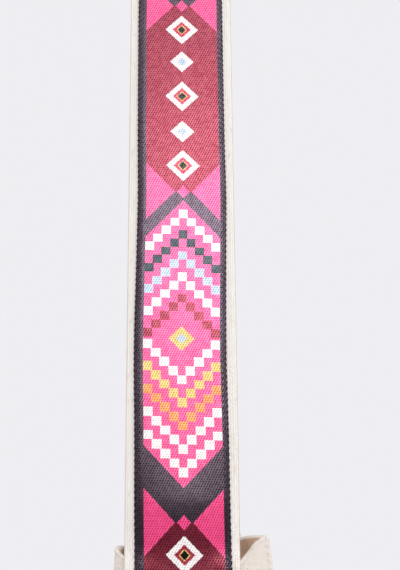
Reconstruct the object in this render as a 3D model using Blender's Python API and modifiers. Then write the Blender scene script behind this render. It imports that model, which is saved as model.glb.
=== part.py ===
"""Canvas shoulder bag with a wide strap that carries a patterned ribbon.

The bag stands on its flat base, at the origin, and its strap is held up in a loop.
X runs along the mouth, from one end wall to the other, Y from front to back, Z up.
Units are metres, and angles are in degrees where a name says so.
"""
import math

import bmesh
import bpy
from mathutils import Matrix, Vector
from mathutils.geometry import delaunay_2d_cdt

# Cloth and seams
CANVAS = 0.0012
FACING_CLOTH = 0.0010
POCKET_CLOTH = 0.0010
BINDING_THICKNESS = 0.0022
CLEARANCE = 0.0003
SEWN_GAP = 0.0005

# Bag body
BAG_HEIGHT = 0.300
BASE_LENGTH = 0.350
END_SWELL = 0.008
WIDEST_HEIGHT = 0.180
BASE_DEPTH = 0.104
MOUTH_DEPTH = 0.068
TAPER_START = 0.135
BASE_FILLET = 0.010
BODY_BELLY = 0.004
MOUTH_PINCH = 0.005
PINCH_START = 0.160
RIM_SAG = 0.012
END_RIM_DIP = 0.011

# Inside the bag
FACING_HEIGHT = 0.030
FACING_SET_DOWN = 0.0006
BINDING_WIDTH = 0.008
BOARD_THICKNESS = 0.0025
BOARD_MARGIN = 0.001
BOARD_CORNER = 0.008
POCKET_WIDTH = 0.160
POCKET_BOTTOM = 0.095
POCKET_HEIGHT = 0.125
POCKET_HEM = 0.014
SNAP_DIAMETER = 0.018
SNAP_THICKNESS = 0.0022
SNAP_BELOW_RIM = 0.015
SNAP_EDGE = 0.0004
STUD_DIAMETER = 0.008
STUD_LENGTH = 0.0022
SOCKET_DEPTH = 0.0012

# Strap
WEBBING_WIDTH = 0.050
WEBBING_THICKNESS = 0.0020
RIBBON_WIDTH = 0.0418
RIBBON_THICKNESS = 0.0010
STRAP_LEAN_DEG = 23.0
STRAP_TOP_RADIUS = 0.045
ANCHOR_DROP = 0.090
FOLD_LENGTH = 0.026
FOLD_GAP = 0.0006
FOLD_EASE = 0.014
RIBBON_END_MARGIN = 0.004
PATCH_MARGIN = 0.004

# Ribbon pattern: columns run across the ribbon and cells along it, both from a crossing's middle
PATTERN_SHARE = 0.839
PATTERN_SHIFT = 0.0007
COLUMNS = 9
CELL = 0.00427
REPEAT = 61.65
PANEL_END = 24.31
LOZENGE_TIP = 25.40
LOZENGE_END = 58.16
CROSSING_ABOVE_RIM = 0.0085
WAIST = 1.03
KNOT = 0.78
EYES = (3.26, 12.16, 21.05)
STUDS = (7.58, 16.73)
EYE_RINGS = (
    (2.04, 1.95, "white"),
    (1.20, 1.15, "crimson"),
    (0.68, 0.65, "yellow"),
    (0.50, 0.48, "black"),
)
STUD_RINGS = ((1.48, 1.38, "white"), (0.57, 0.55, "light_blue"))
HEART_RINGS = ((1.50, 1.40, "yellow"), (0.60, 0.56, "light_blue"))
CHEVRON_START = 1.13
CHEVRON_STEP = 2.53
UPPER_CHEVRONS = ("white", "teal", "light_blue", "white", "burgundy")
LOWER_CHEVRONS = ("white", "white", "orange", "yellow", "white")

# Colours, as sRGB channels from 0 to 255
COLOURS = {
    "canvas": (236, 226, 212),
    "facing": (228, 216, 200),
    "binding": (222, 209, 192),
    "pocket": (232, 221, 206),
    "board": (196, 178, 150),
    "webbing": (238, 228, 214),
    "snap": (196, 190, 178),
    "charcoal": (66, 56, 70),
    "burgundy": (128, 44, 66),
    "pink": (238, 70, 138),
    "crimson": (205, 40, 92),
    "white": (246, 240, 240),
    "teal": (74, 90, 104),
    "light_blue": (206, 220, 236),
    "yellow": (240, 204, 92),
    "orange": (244, 170, 76),
    "black": (28, 22, 26),
}
RIBBON_COLOURS = tuple(COLOURS)[list(COLOURS).index("charcoal"):]

# Fineness of the grids
LONG_COLUMNS = 14
END_COLUMNS = 8
WALL_ROWS = 15
FILLET_ROWS = 4
ARC_STEP_DEG = 5.0
ANCHOR_STEP = 0.0075
TURN_STEPS = 6
SNAP_STEPS = 28

BODY_LENGTH = BASE_LENGTH + 2 * END_SWELL
LEAN = math.radians(STRAP_LEAN_DEG)
GUSSET_RIM = BAG_HEIGHT - END_RIM_DIP
INNER_FACE = CANVAS + SEWN_GAP
FACING_FACE = INNER_FACE + FACING_CLOTH
COLUMN = PATTERN_SHARE * RIBBON_WIDTH / COLUMNS
HALF_COLUMNS = COLUMNS / 2


def start_clean():
    """Empties the scene and returns a collection for the bag's pieces."""
    for obj in list(bpy.data.objects):
        bpy.data.objects.remove(obj)
    collection = bpy.data.collections.new("shoulder_bag")
    bpy.context.scene.collection.children.link(collection)
    return collection


def linear(channel):
    """One sRGB channel, 0 to 255, as the linear value that a shader takes."""
    share = channel / 255
    return share / 12.92 if share <= 0.04045 else ((share + 0.055) / 1.055) ** 2.4


def material(name, roughness=0.85, metallic=0.0):
    made = bpy.data.materials.get(name) or bpy.data.materials.new(name)
    made.use_nodes = True
    shader = made.node_tree.nodes["Principled BSDF"]
    colour = [linear(channel) for channel in COLOURS[name]] + [1.0]
    shader.inputs["Base Color"].default_value = colour
    shader.inputs["Roughness"].default_value = roughness
    shader.inputs["Metallic"].default_value = metallic
    made.diffuse_color = colour
    return made


def object_from(bm, name, *materials):
    mesh = bpy.data.meshes.new(name)
    bm.to_mesh(mesh)
    bm.free()
    for made in materials:
        mesh.materials.append(made)
    obj = bpy.data.objects.new(name, mesh)
    bag_parts.objects.link(obj)
    return obj


def thicken(obj, thickness, offset):
    """Solidify: offset -1 keeps the modelled surface outside, and 0 keeps it in the middle."""
    wall = obj.modifiers.new("wall", "SOLIDIFY")
    wall.thickness = thickness
    wall.offset = offset
    wall.use_even_offset = True
    return obj


def mapped_grid(columns, rows, place):
    """A grid whose corner at column i and row j, counted from 0, is moved to place(i, j)."""
    bm = bmesh.new()
    bmesh.ops.create_grid(bm, x_segments=columns, y_segments=rows, size=0.5)
    for vertex in bm.verts:
        column = round((vertex.co.x + 0.5) * columns)
        row = round((vertex.co.y + 0.5) * rows)
        vertex.co = place(column, row)
    return bm


# The body's shape: four sheets that lean and taper, with a round along the base

def fillet(height, inset):
    """How far the round at the base draws a wall in at this height."""
    radius = BASE_FILLET - inset
    if height >= BASE_FILLET:
        return 0.0
    return radius - math.sqrt(max(radius ** 2 - (BASE_FILLET - height) ** 2, 0.0))


def half_length(height):
    """Half the body's length. It swells to WIDEST_HEIGHT, then leans in to meet the strap's slope."""
    if height <= WIDEST_HEIGHT:
        swell = math.sin(math.pi / 2 * height / WIDEST_HEIGHT)
        return BASE_LENGTH / 2 + END_SWELL * swell
    run = GUSSET_RIM - WIDEST_HEIGHT
    climb = height - WIDEST_HEIGHT
    curved = min(climb, run)
    return BODY_LENGTH / 2 - math.tan(LEAN) * (curved ** 2 / (2 * run) + climb - curved)


def half_depth(height):
    """Half the body's depth at its corners. It tapers from the base to the mouth."""
    climb = max(height - TAPER_START, 0.0) / (BAG_HEIGHT - TAPER_START)
    return (BASE_DEPTH - (BASE_DEPTH - MOUTH_DEPTH) * climb ** 2) / 2


def slope(half, height):
    step = 0.001
    return (half(height + step) - half(height - step)) / (2 * step)


def end_x(height, inset):
    """X of the right wall's surface, inset by a distance square to the wall."""
    return half_length(height) - fillet(height, inset) - inset * math.hypot(1, slope(half_length, height))


def corner_y(height, inset):
    """Y of the back wall's surface at its corners, inset by a distance square to the wall."""
    return half_depth(height) - fillet(height, inset) - inset * math.hypot(1, slope(half_depth, height))


def belly(x, height):
    """How far the front and back walls stand out between their corners."""
    low = BODY_BELLY * math.sin(math.pi * height / BAG_HEIGHT)
    pinch = max(height - PINCH_START, 0.0) / (BAG_HEIGHT - PINCH_START)
    return (low - MOUTH_PINCH * pinch ** 1.5) * (1 - (x / half_length(height)) ** 2)


def long_point(side, x, height, inset):
    """A point of the front (side -1) or back (side 1) wall."""
    return Vector((x, side * (corner_y(height, inset) + belly(x, height)), height))


def long_rim(share):
    """Height of the front and back rims, which sag between the corners. share is -1 to 1 along them."""
    return BAG_HEIGHT - RIM_SAG * (1 - share ** 2)


def end_rim(share):
    """Height of an end wall's rim, which dips to the strap. share is -1 to 1 across it."""
    return BAG_HEIGHT - END_RIM_DIP * (1 - abs(share) ** 1.3)


def wall_heights():
    """Heights of a whole wall's grid rows as shares of its rim: close together in the base's round."""
    bend = BASE_FILLET / BAG_HEIGHT
    angles = [math.pi / 2 * step / FILLET_ROWS for step in range(FILLET_ROWS)]
    rounded = [bend * (1 - math.cos(angle)) for angle in angles]
    return rounded + [bend + (1 - bend) * step / WALL_ROWS for step in range(WALL_ROWS + 1)]


def long_sheet(name, side, cloth, inset, thickness, shares, reach, low, high, columns=LONG_COLUMNS):
    """A sheet on a long wall. reach(height) is its half-length, low(share) and high(share) its edges."""
    def place(column, row):
        share = 2 * column / columns - 1
        height = low(share) + (high(share) - low(share)) * shares[row]
        return long_point(side, -side * share * reach(height), height, inset)

    bm = mapped_grid(columns, len(shares) - 1, place)
    return thicken(object_from(bm, name, material(cloth)), thickness, -1)


def end_sheet(name, side, cloth, inset, thickness, shares, reach, low, high, columns=END_COLUMNS):
    """A sheet on an end wall. reach(height) is its half-width, low(share) and high(share) its edges."""
    def place(column, row):
        share = 2 * column / columns - 1
        height = low(share) + (high(share) - low(share)) * shares[row]
        return Vector((side * end_x(height, inset), side * share * reach(height), height))

    bm = mapped_grid(columns, len(shares) - 1, place)
    return thicken(object_from(bm, name, material(cloth)), thickness, -1)


def even(rows):
    return [row / rows for row in range(rows + 1)]


def level(height):
    """An edge at one height."""
    return lambda share: height


def between_long_walls(inset):
    """Half-width, at each height, of an end sheet whose edges meet the long walls' face at this inset."""
    return lambda height: corner_y(height, inset + CLEARANCE) - CLEARANCE


def build_walls():
    heights = wall_heights()
    for name, side in (("front_panel", -1), ("back_panel", 1)):
        long_sheet(name, side, "canvas", 0.0, CANVAS, heights, lambda height: end_x(height, 0.0),
                   level(0.0), long_rim)
    for name, side in (("left_gusset", -1), ("right_gusset", 1)):
        end_sheet(name, side, "canvas", 0.0, CANVAS, heights, between_long_walls(CANVAS),
                  level(0.0), end_rim)


def plate(name, cloth, half_x, half_y, low, thickness, corner):
    """A flat plate with its upright edges rounded."""
    bm = bmesh.new()
    bmesh.ops.create_cube(bm, size=1.0)
    bmesh.ops.scale(bm, vec=(2 * half_x, 2 * half_y, thickness), verts=bm.verts)
    bmesh.ops.translate(bm, vec=(0, 0, low + thickness / 2), verts=bm.verts)
    if corner:
        upright = [edge for edge in bm.edges
                   if abs(edge.verts[0].co.z - edge.verts[1].co.z) > thickness / 2]
        bmesh.ops.bevel(bm, geom=upright, offset=corner, segments=4, profile=0.5, affect="EDGES")
    return object_from(bm, name, material(cloth))


def build_base():
    half_x = BASE_LENGTH / 2 - BASE_FILLET - SEWN_GAP
    half_y = BASE_DEPTH / 2 - BASE_FILLET - SEWN_GAP
    plate("base_panel", "canvas", half_x, half_y, 0.0, CANVAS, 0.0)
    plate("base_board", "board", half_x - BOARD_MARGIN, half_y - BOARD_MARGIN,
          CANVAS + CLEARANCE, BOARD_THICKNESS, BOARD_CORNER)


def build_facings():
    """The hem facings inside the mouth, one to each wall."""
    rows = even(3)
    for name, side in (("front_facing", -1), ("back_facing", 1)):
        long_sheet(name, side, "facing", INNER_FACE, FACING_CLOTH, rows,
                   lambda height: end_x(height, CANVAS + CLEARANCE) - CLEARANCE,
                   lambda share: long_rim(share) - FACING_HEIGHT,
                   lambda share: long_rim(share) - FACING_SET_DOWN)
    for name, side in (("left_facing", -1), ("right_facing", 1)):
        end_sheet(name, side, "facing", INNER_FACE, FACING_CLOTH, rows, between_long_walls(FACING_FACE),
                  lambda share: end_rim(share) - FACING_HEIGHT,
                  lambda share: end_rim(share) - FACING_SET_DOWN)


def build_seam_bindings():
    """Tape over the seam allowances in the four upright corners, from the base's round to the facings."""
    inner_share = 1 - 2 * (BINDING_WIDTH + 2 * CANVAS) / BODY_LENGTH
    top = min(long_rim(inner_share), end_rim(inner_share)) - FACING_HEIGHT - SEWN_GAP - CLEARANCE
    rows = 12
    for along, end in (("left", -1), ("right", 1)):
        for across, side in (("front", -1), ("back", 1)):
            def place(column, row, end=end, side=side):
                height = BASE_FILLET + (top - BASE_FILLET) * row / rows
                outer = end_x(height, CANVAS + CLEARANCE) - CLEARANCE
                near = column if end * side < 0 else 1 - column
                return long_point(side, end * (outer - BINDING_WIDTH * (1 - near)), height, INNER_FACE)

            bm = mapped_grid(1, rows, place)
            tape = object_from(bm, f"{across}_{along}_seam_binding", material("binding"))
            thicken(tape, BINDING_THICKNESS, -1)


def build_pocket():
    """A flat slip pocket on the back wall's inner side, with a hem band over its top edge."""
    top = POCKET_BOTTOM + POCKET_HEIGHT
    half_width = POCKET_WIDTH / 2
    long_sheet("slip_pocket", 1, "pocket", INNER_FACE, POCKET_CLOTH, even(6), lambda height: half_width,
               level(POCKET_BOTTOM), level(top), 8)
    long_sheet("pocket_hem", 1, "binding", INNER_FACE + POCKET_CLOTH + CLEARANCE, FACING_CLOTH, even(2),
               lambda height: half_width, level(top - POCKET_HEM), level(top), 8)


def turned(name, profile, place):
    """A profile of (radius, height) turned about its own Z, then put at place."""
    bm = bmesh.new()
    corners = [bm.verts.new((radius, 0, height)) for radius, height in profile]
    for first, second in zip(corners, corners[1:]):
        bm.edges.new((first, second))
    obj = object_from(bm, name, material("snap", roughness=0.35, metallic=0.9))
    spin = obj.modifiers.new("turn", "SCREW")
    spin.steps = SNAP_STEPS
    spin.render_steps = SNAP_STEPS
    spin.use_merge_vertices = True
    spin.merge_threshold = 0.00005
    obj.matrix_world = place
    return obj


def snap_place(side):
    """Where a snap half sits: at the mouth's middle, on the facing, with its face towards the other."""
    height = long_rim(0.0) - SNAP_BELOW_RIM
    inset = FACING_FACE + SEWN_GAP
    step = 0.001
    rise = long_point(side, 0.0, height + step, inset) - long_point(side, 0.0, height - step, inset)
    inward = Vector((1, 0, 0)).cross(rise).normalized()
    inward *= -side if inward.y > 0 else side
    turn = inward.to_track_quat("Z", "Y").to_matrix().to_4x4()
    return Matrix.Translation(long_point(side, 0.0, height, inset)) @ turn


def build_snap():
    edge = SNAP_DIAMETER / 2
    stud = STUD_DIAMETER / 2
    rim = [(edge - SNAP_EDGE, SNAP_THICKNESS), (edge, SNAP_THICKNESS - SNAP_EDGE), (edge, 0), (0, 0)]
    tip = SNAP_THICKNESS + STUD_LENGTH
    stud_side = [(0, tip), (stud - SNAP_EDGE, tip), (stud, tip - SNAP_EDGE), (stud, SNAP_THICKNESS)]
    floor = SNAP_THICKNESS - SOCKET_DEPTH
    socket = stud + CLEARANCE
    turned("snap_stud", stud_side + rim, snap_place(-1))
    turned("snap_socket", [(0, floor), (socket, floor), (socket, SNAP_THICKNESS)] + rim, snap_place(1))


# The strap: one webbing that leaves each end wall in its own plane and turns over a round top

def anchor_point(height, lift):
    """A point lifted square off the right end wall's middle line, as (x, z)."""
    lean = slope(half_length, height)
    scale = lift / math.hypot(1, lean)
    return half_length(height) + scale, height - lean * scale


def steps_between(start, end, step):
    """Values from start to end, both included, at about this step."""
    count = max(1, math.ceil(abs(end - start) / step))
    return [start + (end - start) * index / count for index in range(count + 1)]


ANCHOR_BOTTOM = GUSSET_RIM - ANCHOR_DROP
FOLD_TOP = ANCHOR_BOTTOM + FOLD_LENGTH
FIRST_LIFT = CLEARANCE + WEBBING_THICKNESS / 2
LAYER = WEBBING_THICKNESS + FOLD_GAP


def outer_lift(height):
    """Height of the webbing's middle off the wall: a layer more over the folded end."""
    share = min(max((height - FOLD_TOP) / FOLD_EASE, 0.0), 1.0)
    return FIRST_LIFT + LAYER * (1 - share * share * (3 - 2 * share))


def strap_half():
    """The webbing's middle line from the top's middle down to the right end: its rows as (x, z),
    and how many of them are on the outer layer, which carries the ribbon."""
    leg_end_x, leg_end_z = anchor_point(GUSSET_RIM, FIRST_LIFT)
    radius = STRAP_TOP_RADIUS
    leg = (leg_end_x - radius * math.cos(LEAN)) / math.sin(LEAN)
    centre = leg_end_z + leg * math.cos(LEAN) - radius * math.sin(LEAN)
    angles = steps_between(0.0, math.pi / 2 - LEAN, math.radians(ARC_STEP_DEG))
    rows = [(radius * math.sin(angle), centre + radius * math.cos(angle)) for angle in angles]
    heights = steps_between(GUSSET_RIM, FOLD_TOP + FOLD_EASE, ANCHOR_STEP)
    heights += steps_between(FOLD_TOP + FOLD_EASE, FOLD_TOP, FOLD_EASE / 4)[1:]
    heights += steps_between(FOLD_TOP, ANCHOR_BOTTOM, ANCHOR_STEP)[1:]
    rows += [anchor_point(height, outer_lift(height)) for height in heights]
    outer_rows = len(rows)
    bend = LAYER / 2
    turns = steps_between(0.0, math.pi, math.pi / TURN_STEPS)[1:]
    rows += [anchor_point(ANCHOR_BOTTOM - bend * math.sin(turn), FIRST_LIFT + bend * (1 + math.cos(turn)))
             for turn in turns]
    heights = steps_between(ANCHOR_BOTTOM, FOLD_TOP, ANCHOR_STEP)[1:]
    rows += [anchor_point(height, FIRST_LIFT) for height in heights]
    return rows, outer_rows


def mirrored(rows):
    """The whole strap's rows, from the left end to the right one."""
    return [(-x, z) for x, z in reversed(rows[1:])] + rows


def distances(rows):
    """How far each row is from the top's middle, along the strap: below 0 on the left leg."""
    lengths = [0.0]
    for (x0, z0), (x1, z1) in zip(rows, rows[1:]):
        lengths.append(lengths[-1] + math.hypot(x1 - x0, z1 - z0))
    middle = lengths[len(rows) // 2]
    return [length - middle for length in lengths]


def lifted(rows, lift):
    """The rows moved square off the strap, away from the middle of its loop."""
    moved = []
    for index, (x, z) in enumerate(rows):
        before = rows[max(index - 1, 0)]
        after = rows[min(index + 1, len(rows) - 1)]
        run_x, run_z = after[0] - before[0], after[1] - before[1]
        length = math.hypot(run_x, run_z)
        moved.append((x - run_z / length * lift, z + run_x / length * lift))
    return moved


def build_webbing():
    rows, outer_rows = strap_half()
    line = mirrored(rows)
    bm = mapped_grid(1, len(line) - 1, lambda column, row: Vector(
        (line[row][0], (column - 0.5) * WEBBING_WIDTH, line[row][1])))
    thicken(object_from(bm, "strap_webbing", material("webbing")), WEBBING_THICKNESS, 0)


def diamond(cell, half_columns, half_cells):
    return [(half_columns, cell), (0, cell + half_cells), (-half_columns, cell), (0, cell - half_cells)]


def nested(cell, rings):
    return [(colour, diamond(cell, across, along)) for across, along, colour in rings]


def crossing(cell):
    """Where two fields meet: a pink wedge at each edge, and a small diamond between them."""
    wing = HALF_COLUMNS - WAIST
    fields = []
    for side in (-1, 1):
        edge = side * HALF_COLUMNS
        fields.append(("pink", [(side * WAIST, cell), (edge, cell - wing), (edge, cell + wing)]))
    return fields + [("pink", diamond(cell, KNOT, KNOT))]


def panel(start):
    """The burgundy field between two crossings, with its eyes and small diamonds."""
    wing = HALF_COLUMNS - WAIST
    end = start + PANEL_END
    right = [(WAIST, start), (HALF_COLUMNS, start + wing), (HALF_COLUMNS, end - wing), (WAIST, end)]
    fields = [("burgundy", right + [(-across, cell) for across, cell in reversed(right)])]
    for cell in EYES:
        fields += nested(start + cell, EYE_RINGS)
    for cell in STUDS:
        fields += nested(start + cell, STUD_RINGS)
    return fields


def lozenge(start):
    """The pink field with its stepped chevrons, which close on a small diamond at its heart."""
    tip, end = start + LOZENGE_TIP, start + LOZENGE_END
    right = [(HALF_COLUMNS, tip + HALF_COLUMNS), (HALF_COLUMNS, end - HALF_COLUMNS)]
    left = [(-HALF_COLUMNS, end - HALF_COLUMNS), (-HALF_COLUMNS, tip + HALF_COLUMNS)]
    fields = [("pink", [(0, tip)] + right + [(0, end)] + left)]
    reach = COLUMNS // 2
    for origin, way, chevrons in ((tip, 1, UPPER_CHEVRONS), (end, -1, LOWER_CHEVRONS)):
        for step, colour in enumerate(chevrons):
            for column in range(-reach, reach + 1):
                near = origin + way * (CHEVRON_START + CHEVRON_STEP * step + abs(column))
                far = near + way
                fields.append((colour, [(column - 0.5, near), (column + 0.5, near),
                                        (column + 0.5, far), (column - 0.5, far)]))
    return fields + nested((tip + end) / 2, HEART_RINGS)


def pattern_fields(low, high, knot):
    """Every coloured field between two distances along the strap, as (colour, [(distance, y), ...]).
    knot is the distance of a crossing's middle."""
    repeat = REPEAT * CELL
    fields = []
    for number in range(math.floor((low - knot) / repeat), math.ceil((high - knot) / repeat) + 1):
        start = number * REPEAT
        fields += panel(start) + crossing(start) + crossing(start + PANEL_END) + lozenge(start)
    placed = []
    for colour, outline in fields:
        corners = [(knot + cell * CELL, PATTERN_SHIFT + across * COLUMN) for across, cell in outline]
        if max(along for along, y in corners) > low and min(along for along, y in corners) < high:
            placed.append((colour, corners))
    return placed


def anticlockwise(corners):
    area = sum(x0 * y1 - x1 * y0 for (x0, y0), (x1, y1) in zip(corners, corners[1:] + corners[:1]))
    return corners if area > 0 else corners[::-1]


def flat_pattern(stops, knot):
    """The ribbon's face laid flat, as points (distance, y), triangles and each triangle's colour.
    It is cut along every stop, so that it can bend there."""
    low, high, edge = stops[0], stops[-1], RIBBON_WIDTH / 2
    fields = [("charcoal", [(low, -edge), (high, -edge), (high, edge), (low, edge)])]
    fields += pattern_fields(low, high, knot)
    points, outlines, cuts = [], [], []
    for colour, corners in fields:
        first = len(points)
        points += [Vector(corner) for corner in anticlockwise(corners)]
        outlines.append(list(range(first, len(points))))
    for stop in stops[1:-1]:
        cuts.append((len(points), len(points) + 1))
        points += [Vector((stop, -edge)), Vector((stop, edge))]
    cut = delaunay_2d_cdt(points, cuts, outlines, 1, 1e-6)
    found, faces, sources = cut[0], cut[2], cut[5]
    inside = [(face, max(source)) for face, source in zip(faces, sources) if 0 in source]
    return found, [face for face, source in inside], [fields[source][0] for face, source in inside]


def interpolated(rows, stops, along):
    """The point (x, z) at a distance along rows whose distances are stops."""
    index = 0
    while index < len(stops) - 2 and stops[index + 1] < along:
        index += 1
    share = (along - stops[index]) / (stops[index + 1] - stops[index])
    (x0, z0), (x1, z1) = rows[index], rows[index + 1]
    return x0 + (x1 - x0) * share, z0 + (z1 - z0) * share


def distance_at(height, rows, stops):
    """How far down the right leg the strap passes a height."""
    for (x0, z0), (x1, z1), start, end in zip(rows, rows[1:], stops, stops[1:]):
        if start >= 0.0 and z1 <= height <= z0:
            return start + (end - start) * (z0 - height) / (z0 - z1)
    return stops[-1]


def ribbon_rows():
    """The rows under the ribbon and their distances along the strap."""
    half, outer_rows = strap_half()
    rows = mirrored(half)
    stops = distances(rows)
    hidden = len(half) - outer_rows
    rows, stops = rows[hidden:-hidden], stops[hidden:-hidden]
    reach = stops[-1] - RIBBON_END_MARGIN
    first, last = interpolated(rows, stops, -reach), interpolated(rows, stops, reach)
    kept = [index for index, stop in enumerate(stops) if abs(stop) < reach - CLEARANCE]
    rows = [first] + [rows[index] for index in kept] + [last]
    return rows, [-reach] + [stops[index] for index in kept] + [reach]


def build_ribbon():
    """The ribbon on the webbing's outer face: its coloured fields on top, then its edges and back."""
    rows, stops = ribbon_rows()
    knot = distance_at(BAG_HEIGHT + CROSSING_ABOVE_RIM, rows, stops)
    back = lifted(rows, WEBBING_THICKNESS / 2 + CLEARANCE)
    face = lifted(rows, WEBBING_THICKNESS / 2 + CLEARANCE + RIBBON_THICKNESS)
    points, triangles, colours = flat_pattern(stops, knot)
    bm = bmesh.new()
    distance = bm.verts.layers.float.new("distance")
    corners = []
    for along, y in points:
        x, z = interpolated(face, stops, along)
        corner = bm.verts.new((x, y, z))
        corner[distance] = along
        corners.append(corner)
    for triangle, colour in zip(triangles, colours):
        made = bm.faces.new([corners[index] for index in triangle])
        made.material_index = RIBBON_COLOURS.index(colour)
    loose = [vertex for vertex in bm.verts if not vertex.link_faces]
    bmesh.ops.delete(bm, geom=loose, context="VERTS")
    border = [edge for edge in bm.edges if edge.is_boundary]
    edge_faces = bmesh.ops.extrude_edge_only(bm, edges=border)["geom"]
    under = [vertex for vertex in edge_faces if isinstance(vertex, bmesh.types.BMVert)]
    for vertex in under:
        x, z = interpolated(back, stops, vertex[distance])
        vertex.co.x, vertex.co.z = x, z
    touch = CLEARANCE / 10
    for start, end in zip(stops, stops[1:]):
        strip = [vertex for vertex in under if start - touch < vertex[distance] < end + touch]
        bmesh.ops.contextual_create(bm, geom=strip, mat_nr=0)
    bmesh.ops.recalc_face_normals(bm, faces=bm.faces)
    object_from(bm, "strap_ribbon", *[material(name, roughness=0.6) for name in RIBBON_COLOURS])


def build_anchor_patches():
    """Canvas squares inside the end walls, behind the strap's stitching."""
    half_width = WEBBING_WIDTH / 2 + PATCH_MARGIN
    top = GUSSET_RIM - FACING_HEIGHT - 2 * SEWN_GAP
    for name, side in (("left_anchor_patch", -1), ("right_anchor_patch", 1)):
        end_sheet(name, side, "facing", INNER_FACE, CANVAS, even(5), lambda height: half_width,
                  level(ANCHOR_BOTTOM - PATCH_MARGIN), level(top), 2)


bag_parts = start_clean()
build_walls()
build_base()
build_facings()
build_seam_bindings()
build_pocket()
build_snap()
build_webbing()
build_ribbon()
build_anchor_patches()
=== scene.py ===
"""A canvas shoulder bag with a wide strap that carries a patterned ribbon.

Each piece is made by an operator, and main() calls them in order. Units are metres. X runs along
the mouth, Y from front to back and Z up. The strap's right leg is the one at +X.
"""
import math

import bmesh
import bpy
import numpy as np
from mathutils import Matrix, Vector


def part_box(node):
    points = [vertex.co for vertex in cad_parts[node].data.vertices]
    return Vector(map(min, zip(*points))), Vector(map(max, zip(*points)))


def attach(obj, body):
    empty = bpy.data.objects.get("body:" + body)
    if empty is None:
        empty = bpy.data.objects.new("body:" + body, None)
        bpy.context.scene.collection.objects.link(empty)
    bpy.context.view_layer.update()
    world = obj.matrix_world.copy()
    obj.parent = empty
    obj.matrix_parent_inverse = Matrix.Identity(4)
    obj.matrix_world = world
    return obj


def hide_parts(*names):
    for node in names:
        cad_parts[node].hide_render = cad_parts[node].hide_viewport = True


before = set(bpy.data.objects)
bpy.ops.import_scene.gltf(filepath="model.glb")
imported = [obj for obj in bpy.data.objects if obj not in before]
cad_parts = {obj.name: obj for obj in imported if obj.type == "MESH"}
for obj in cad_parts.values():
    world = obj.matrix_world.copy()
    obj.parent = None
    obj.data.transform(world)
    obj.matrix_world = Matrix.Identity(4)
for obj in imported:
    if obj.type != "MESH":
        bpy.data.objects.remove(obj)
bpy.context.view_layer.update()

bl_info = {
    "name": "Canvas Shoulder Bag",
    "version": (1, 0, 0),
    "blender": (4, 5, 0),
    "location": "3D View > Sidebar > Shoulder Bag",
    "description": "Builds a canvas shoulder bag with a wide strap and a patterned ribbon",
    "category": "Add Mesh",
}

BODY = "root"
MM = 0.001
WHITE = (1.0, 1.0, 1.0, 1.0)
GUSSET_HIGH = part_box("right_gusset")[1]
STRAP_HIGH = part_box("strap_webbing")[1]
RIBBON_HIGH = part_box("strap_ribbon")[1]
WALL_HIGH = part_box("front_panel")[1]
BOARD_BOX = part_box("base_board")
BASE_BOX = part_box("base_panel")
PATCH_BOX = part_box("right_anchor_patch")
POCKET_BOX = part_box("slip_pocket")
HEM_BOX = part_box("pocket_hem")

# The walls, in this order wherever they are numbered, and what they are cut to before they are sewn
WALLS = ("front_panel", "right_gusset", "back_panel", "left_gusset")
WALL_CUTS = ((0.366, 0.305), (0.104, 0.305))
FACING_CUTS = (0.340, 0.070)

# Half the mouth's length and depth, about, and the heights at which the seam tapes and the seam
# stitching end
MOUTH_HALVES = (0.150, 0.034)
TAPE_TOP = 0.262
SEAM_TOP = 0.268

# The body's stitches, from one to the next, and the anchor stitching's distance from the strap's end
STITCH_PITCH = 3.0 * MM
ANCHOR_EDGE = 2.2 * MM

# How finely the walls are divided
LONG_COLUMNS = 84
END_COLUMNS = 24
WALL_COLUMNS = (LONG_COLUMNS, END_COLUMNS)
FILLET_ROWS = 5
WALL_ROWS = 56
SEAMS = (0, LONG_COLUMNS, LONG_COLUMNS + END_COLUMNS, 2 * LONG_COLUMNS + END_COLUMNS)
AROUND = 2 * (LONG_COLUMNS + END_COLUMNS)
COLUMN_EVENNESS = 0.55

# How the canvas hangs while it settles, and for how long
SETTLE_FRAMES = 36
CANVAS_HANG = {
    "quality": 6, "mass": 0.2, "air_damping": 3.0, "pin_stiffness": 1.0, "vertex_group_mass": "held",
    "tension_stiffness": 60.0, "compression_stiffness": 60.0, "shear_stiffness": 25.0,
    "bending_model": "ANGULAR", "bending_stiffness": 6.0,
}

# Soft folds of each wall: from across and up, to across and up, how far out, and how wide
FOLDS = (
    ((0.150, 0.262, 0.035, 0.118, -0.0046, 0.0125), (-0.148, 0.258, -0.062, 0.105, -0.0040, 0.0120),
     (-0.128, 0.045, 0.060, 0.064, 0.0026, 0.0150), (0.152, 0.150, 0.108, 0.040, -0.0032, 0.0110),
     (-0.020, 0.205, 0.052, 0.172, -0.0024, 0.0140), (-0.160, 0.150, -0.130, 0.066, -0.0028, 0.0100)),
    ((0.003, 0.020, -0.002, 0.158, -0.0042, 0.0120), (-0.030, 0.148, -0.012, 0.090, 0.0014, 0.0070)),
    ((-0.146, 0.256, -0.040, 0.130, -0.0044, 0.0125), (0.150, 0.250, 0.078, 0.112, -0.0042, 0.0120),
     (-0.070, 0.058, 0.120, 0.046, 0.0026, 0.0150), (-0.155, 0.140, -0.118, 0.048, -0.0030, 0.0110),
     (0.012, 0.196, -0.048, 0.158, -0.0022, 0.0140)),
    ((-0.004, 0.022, 0.003, 0.156, -0.0040, 0.0125), (0.028, 0.140, 0.014, 0.084, 0.0014, 0.0070)),
)

# Where the ribbon wanders off the strap's middle: by how many millimetres, how far down the strap
# from where it passes a height, and over what length
SWAY_HEIGHT = 0.3085
SWAYS = ((-0.72, -0.080, 0.034), (0.36, -0.158, 0.022), (0.45, 0.024, 0.026), (-0.2, -0.25, 0.05))

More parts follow.
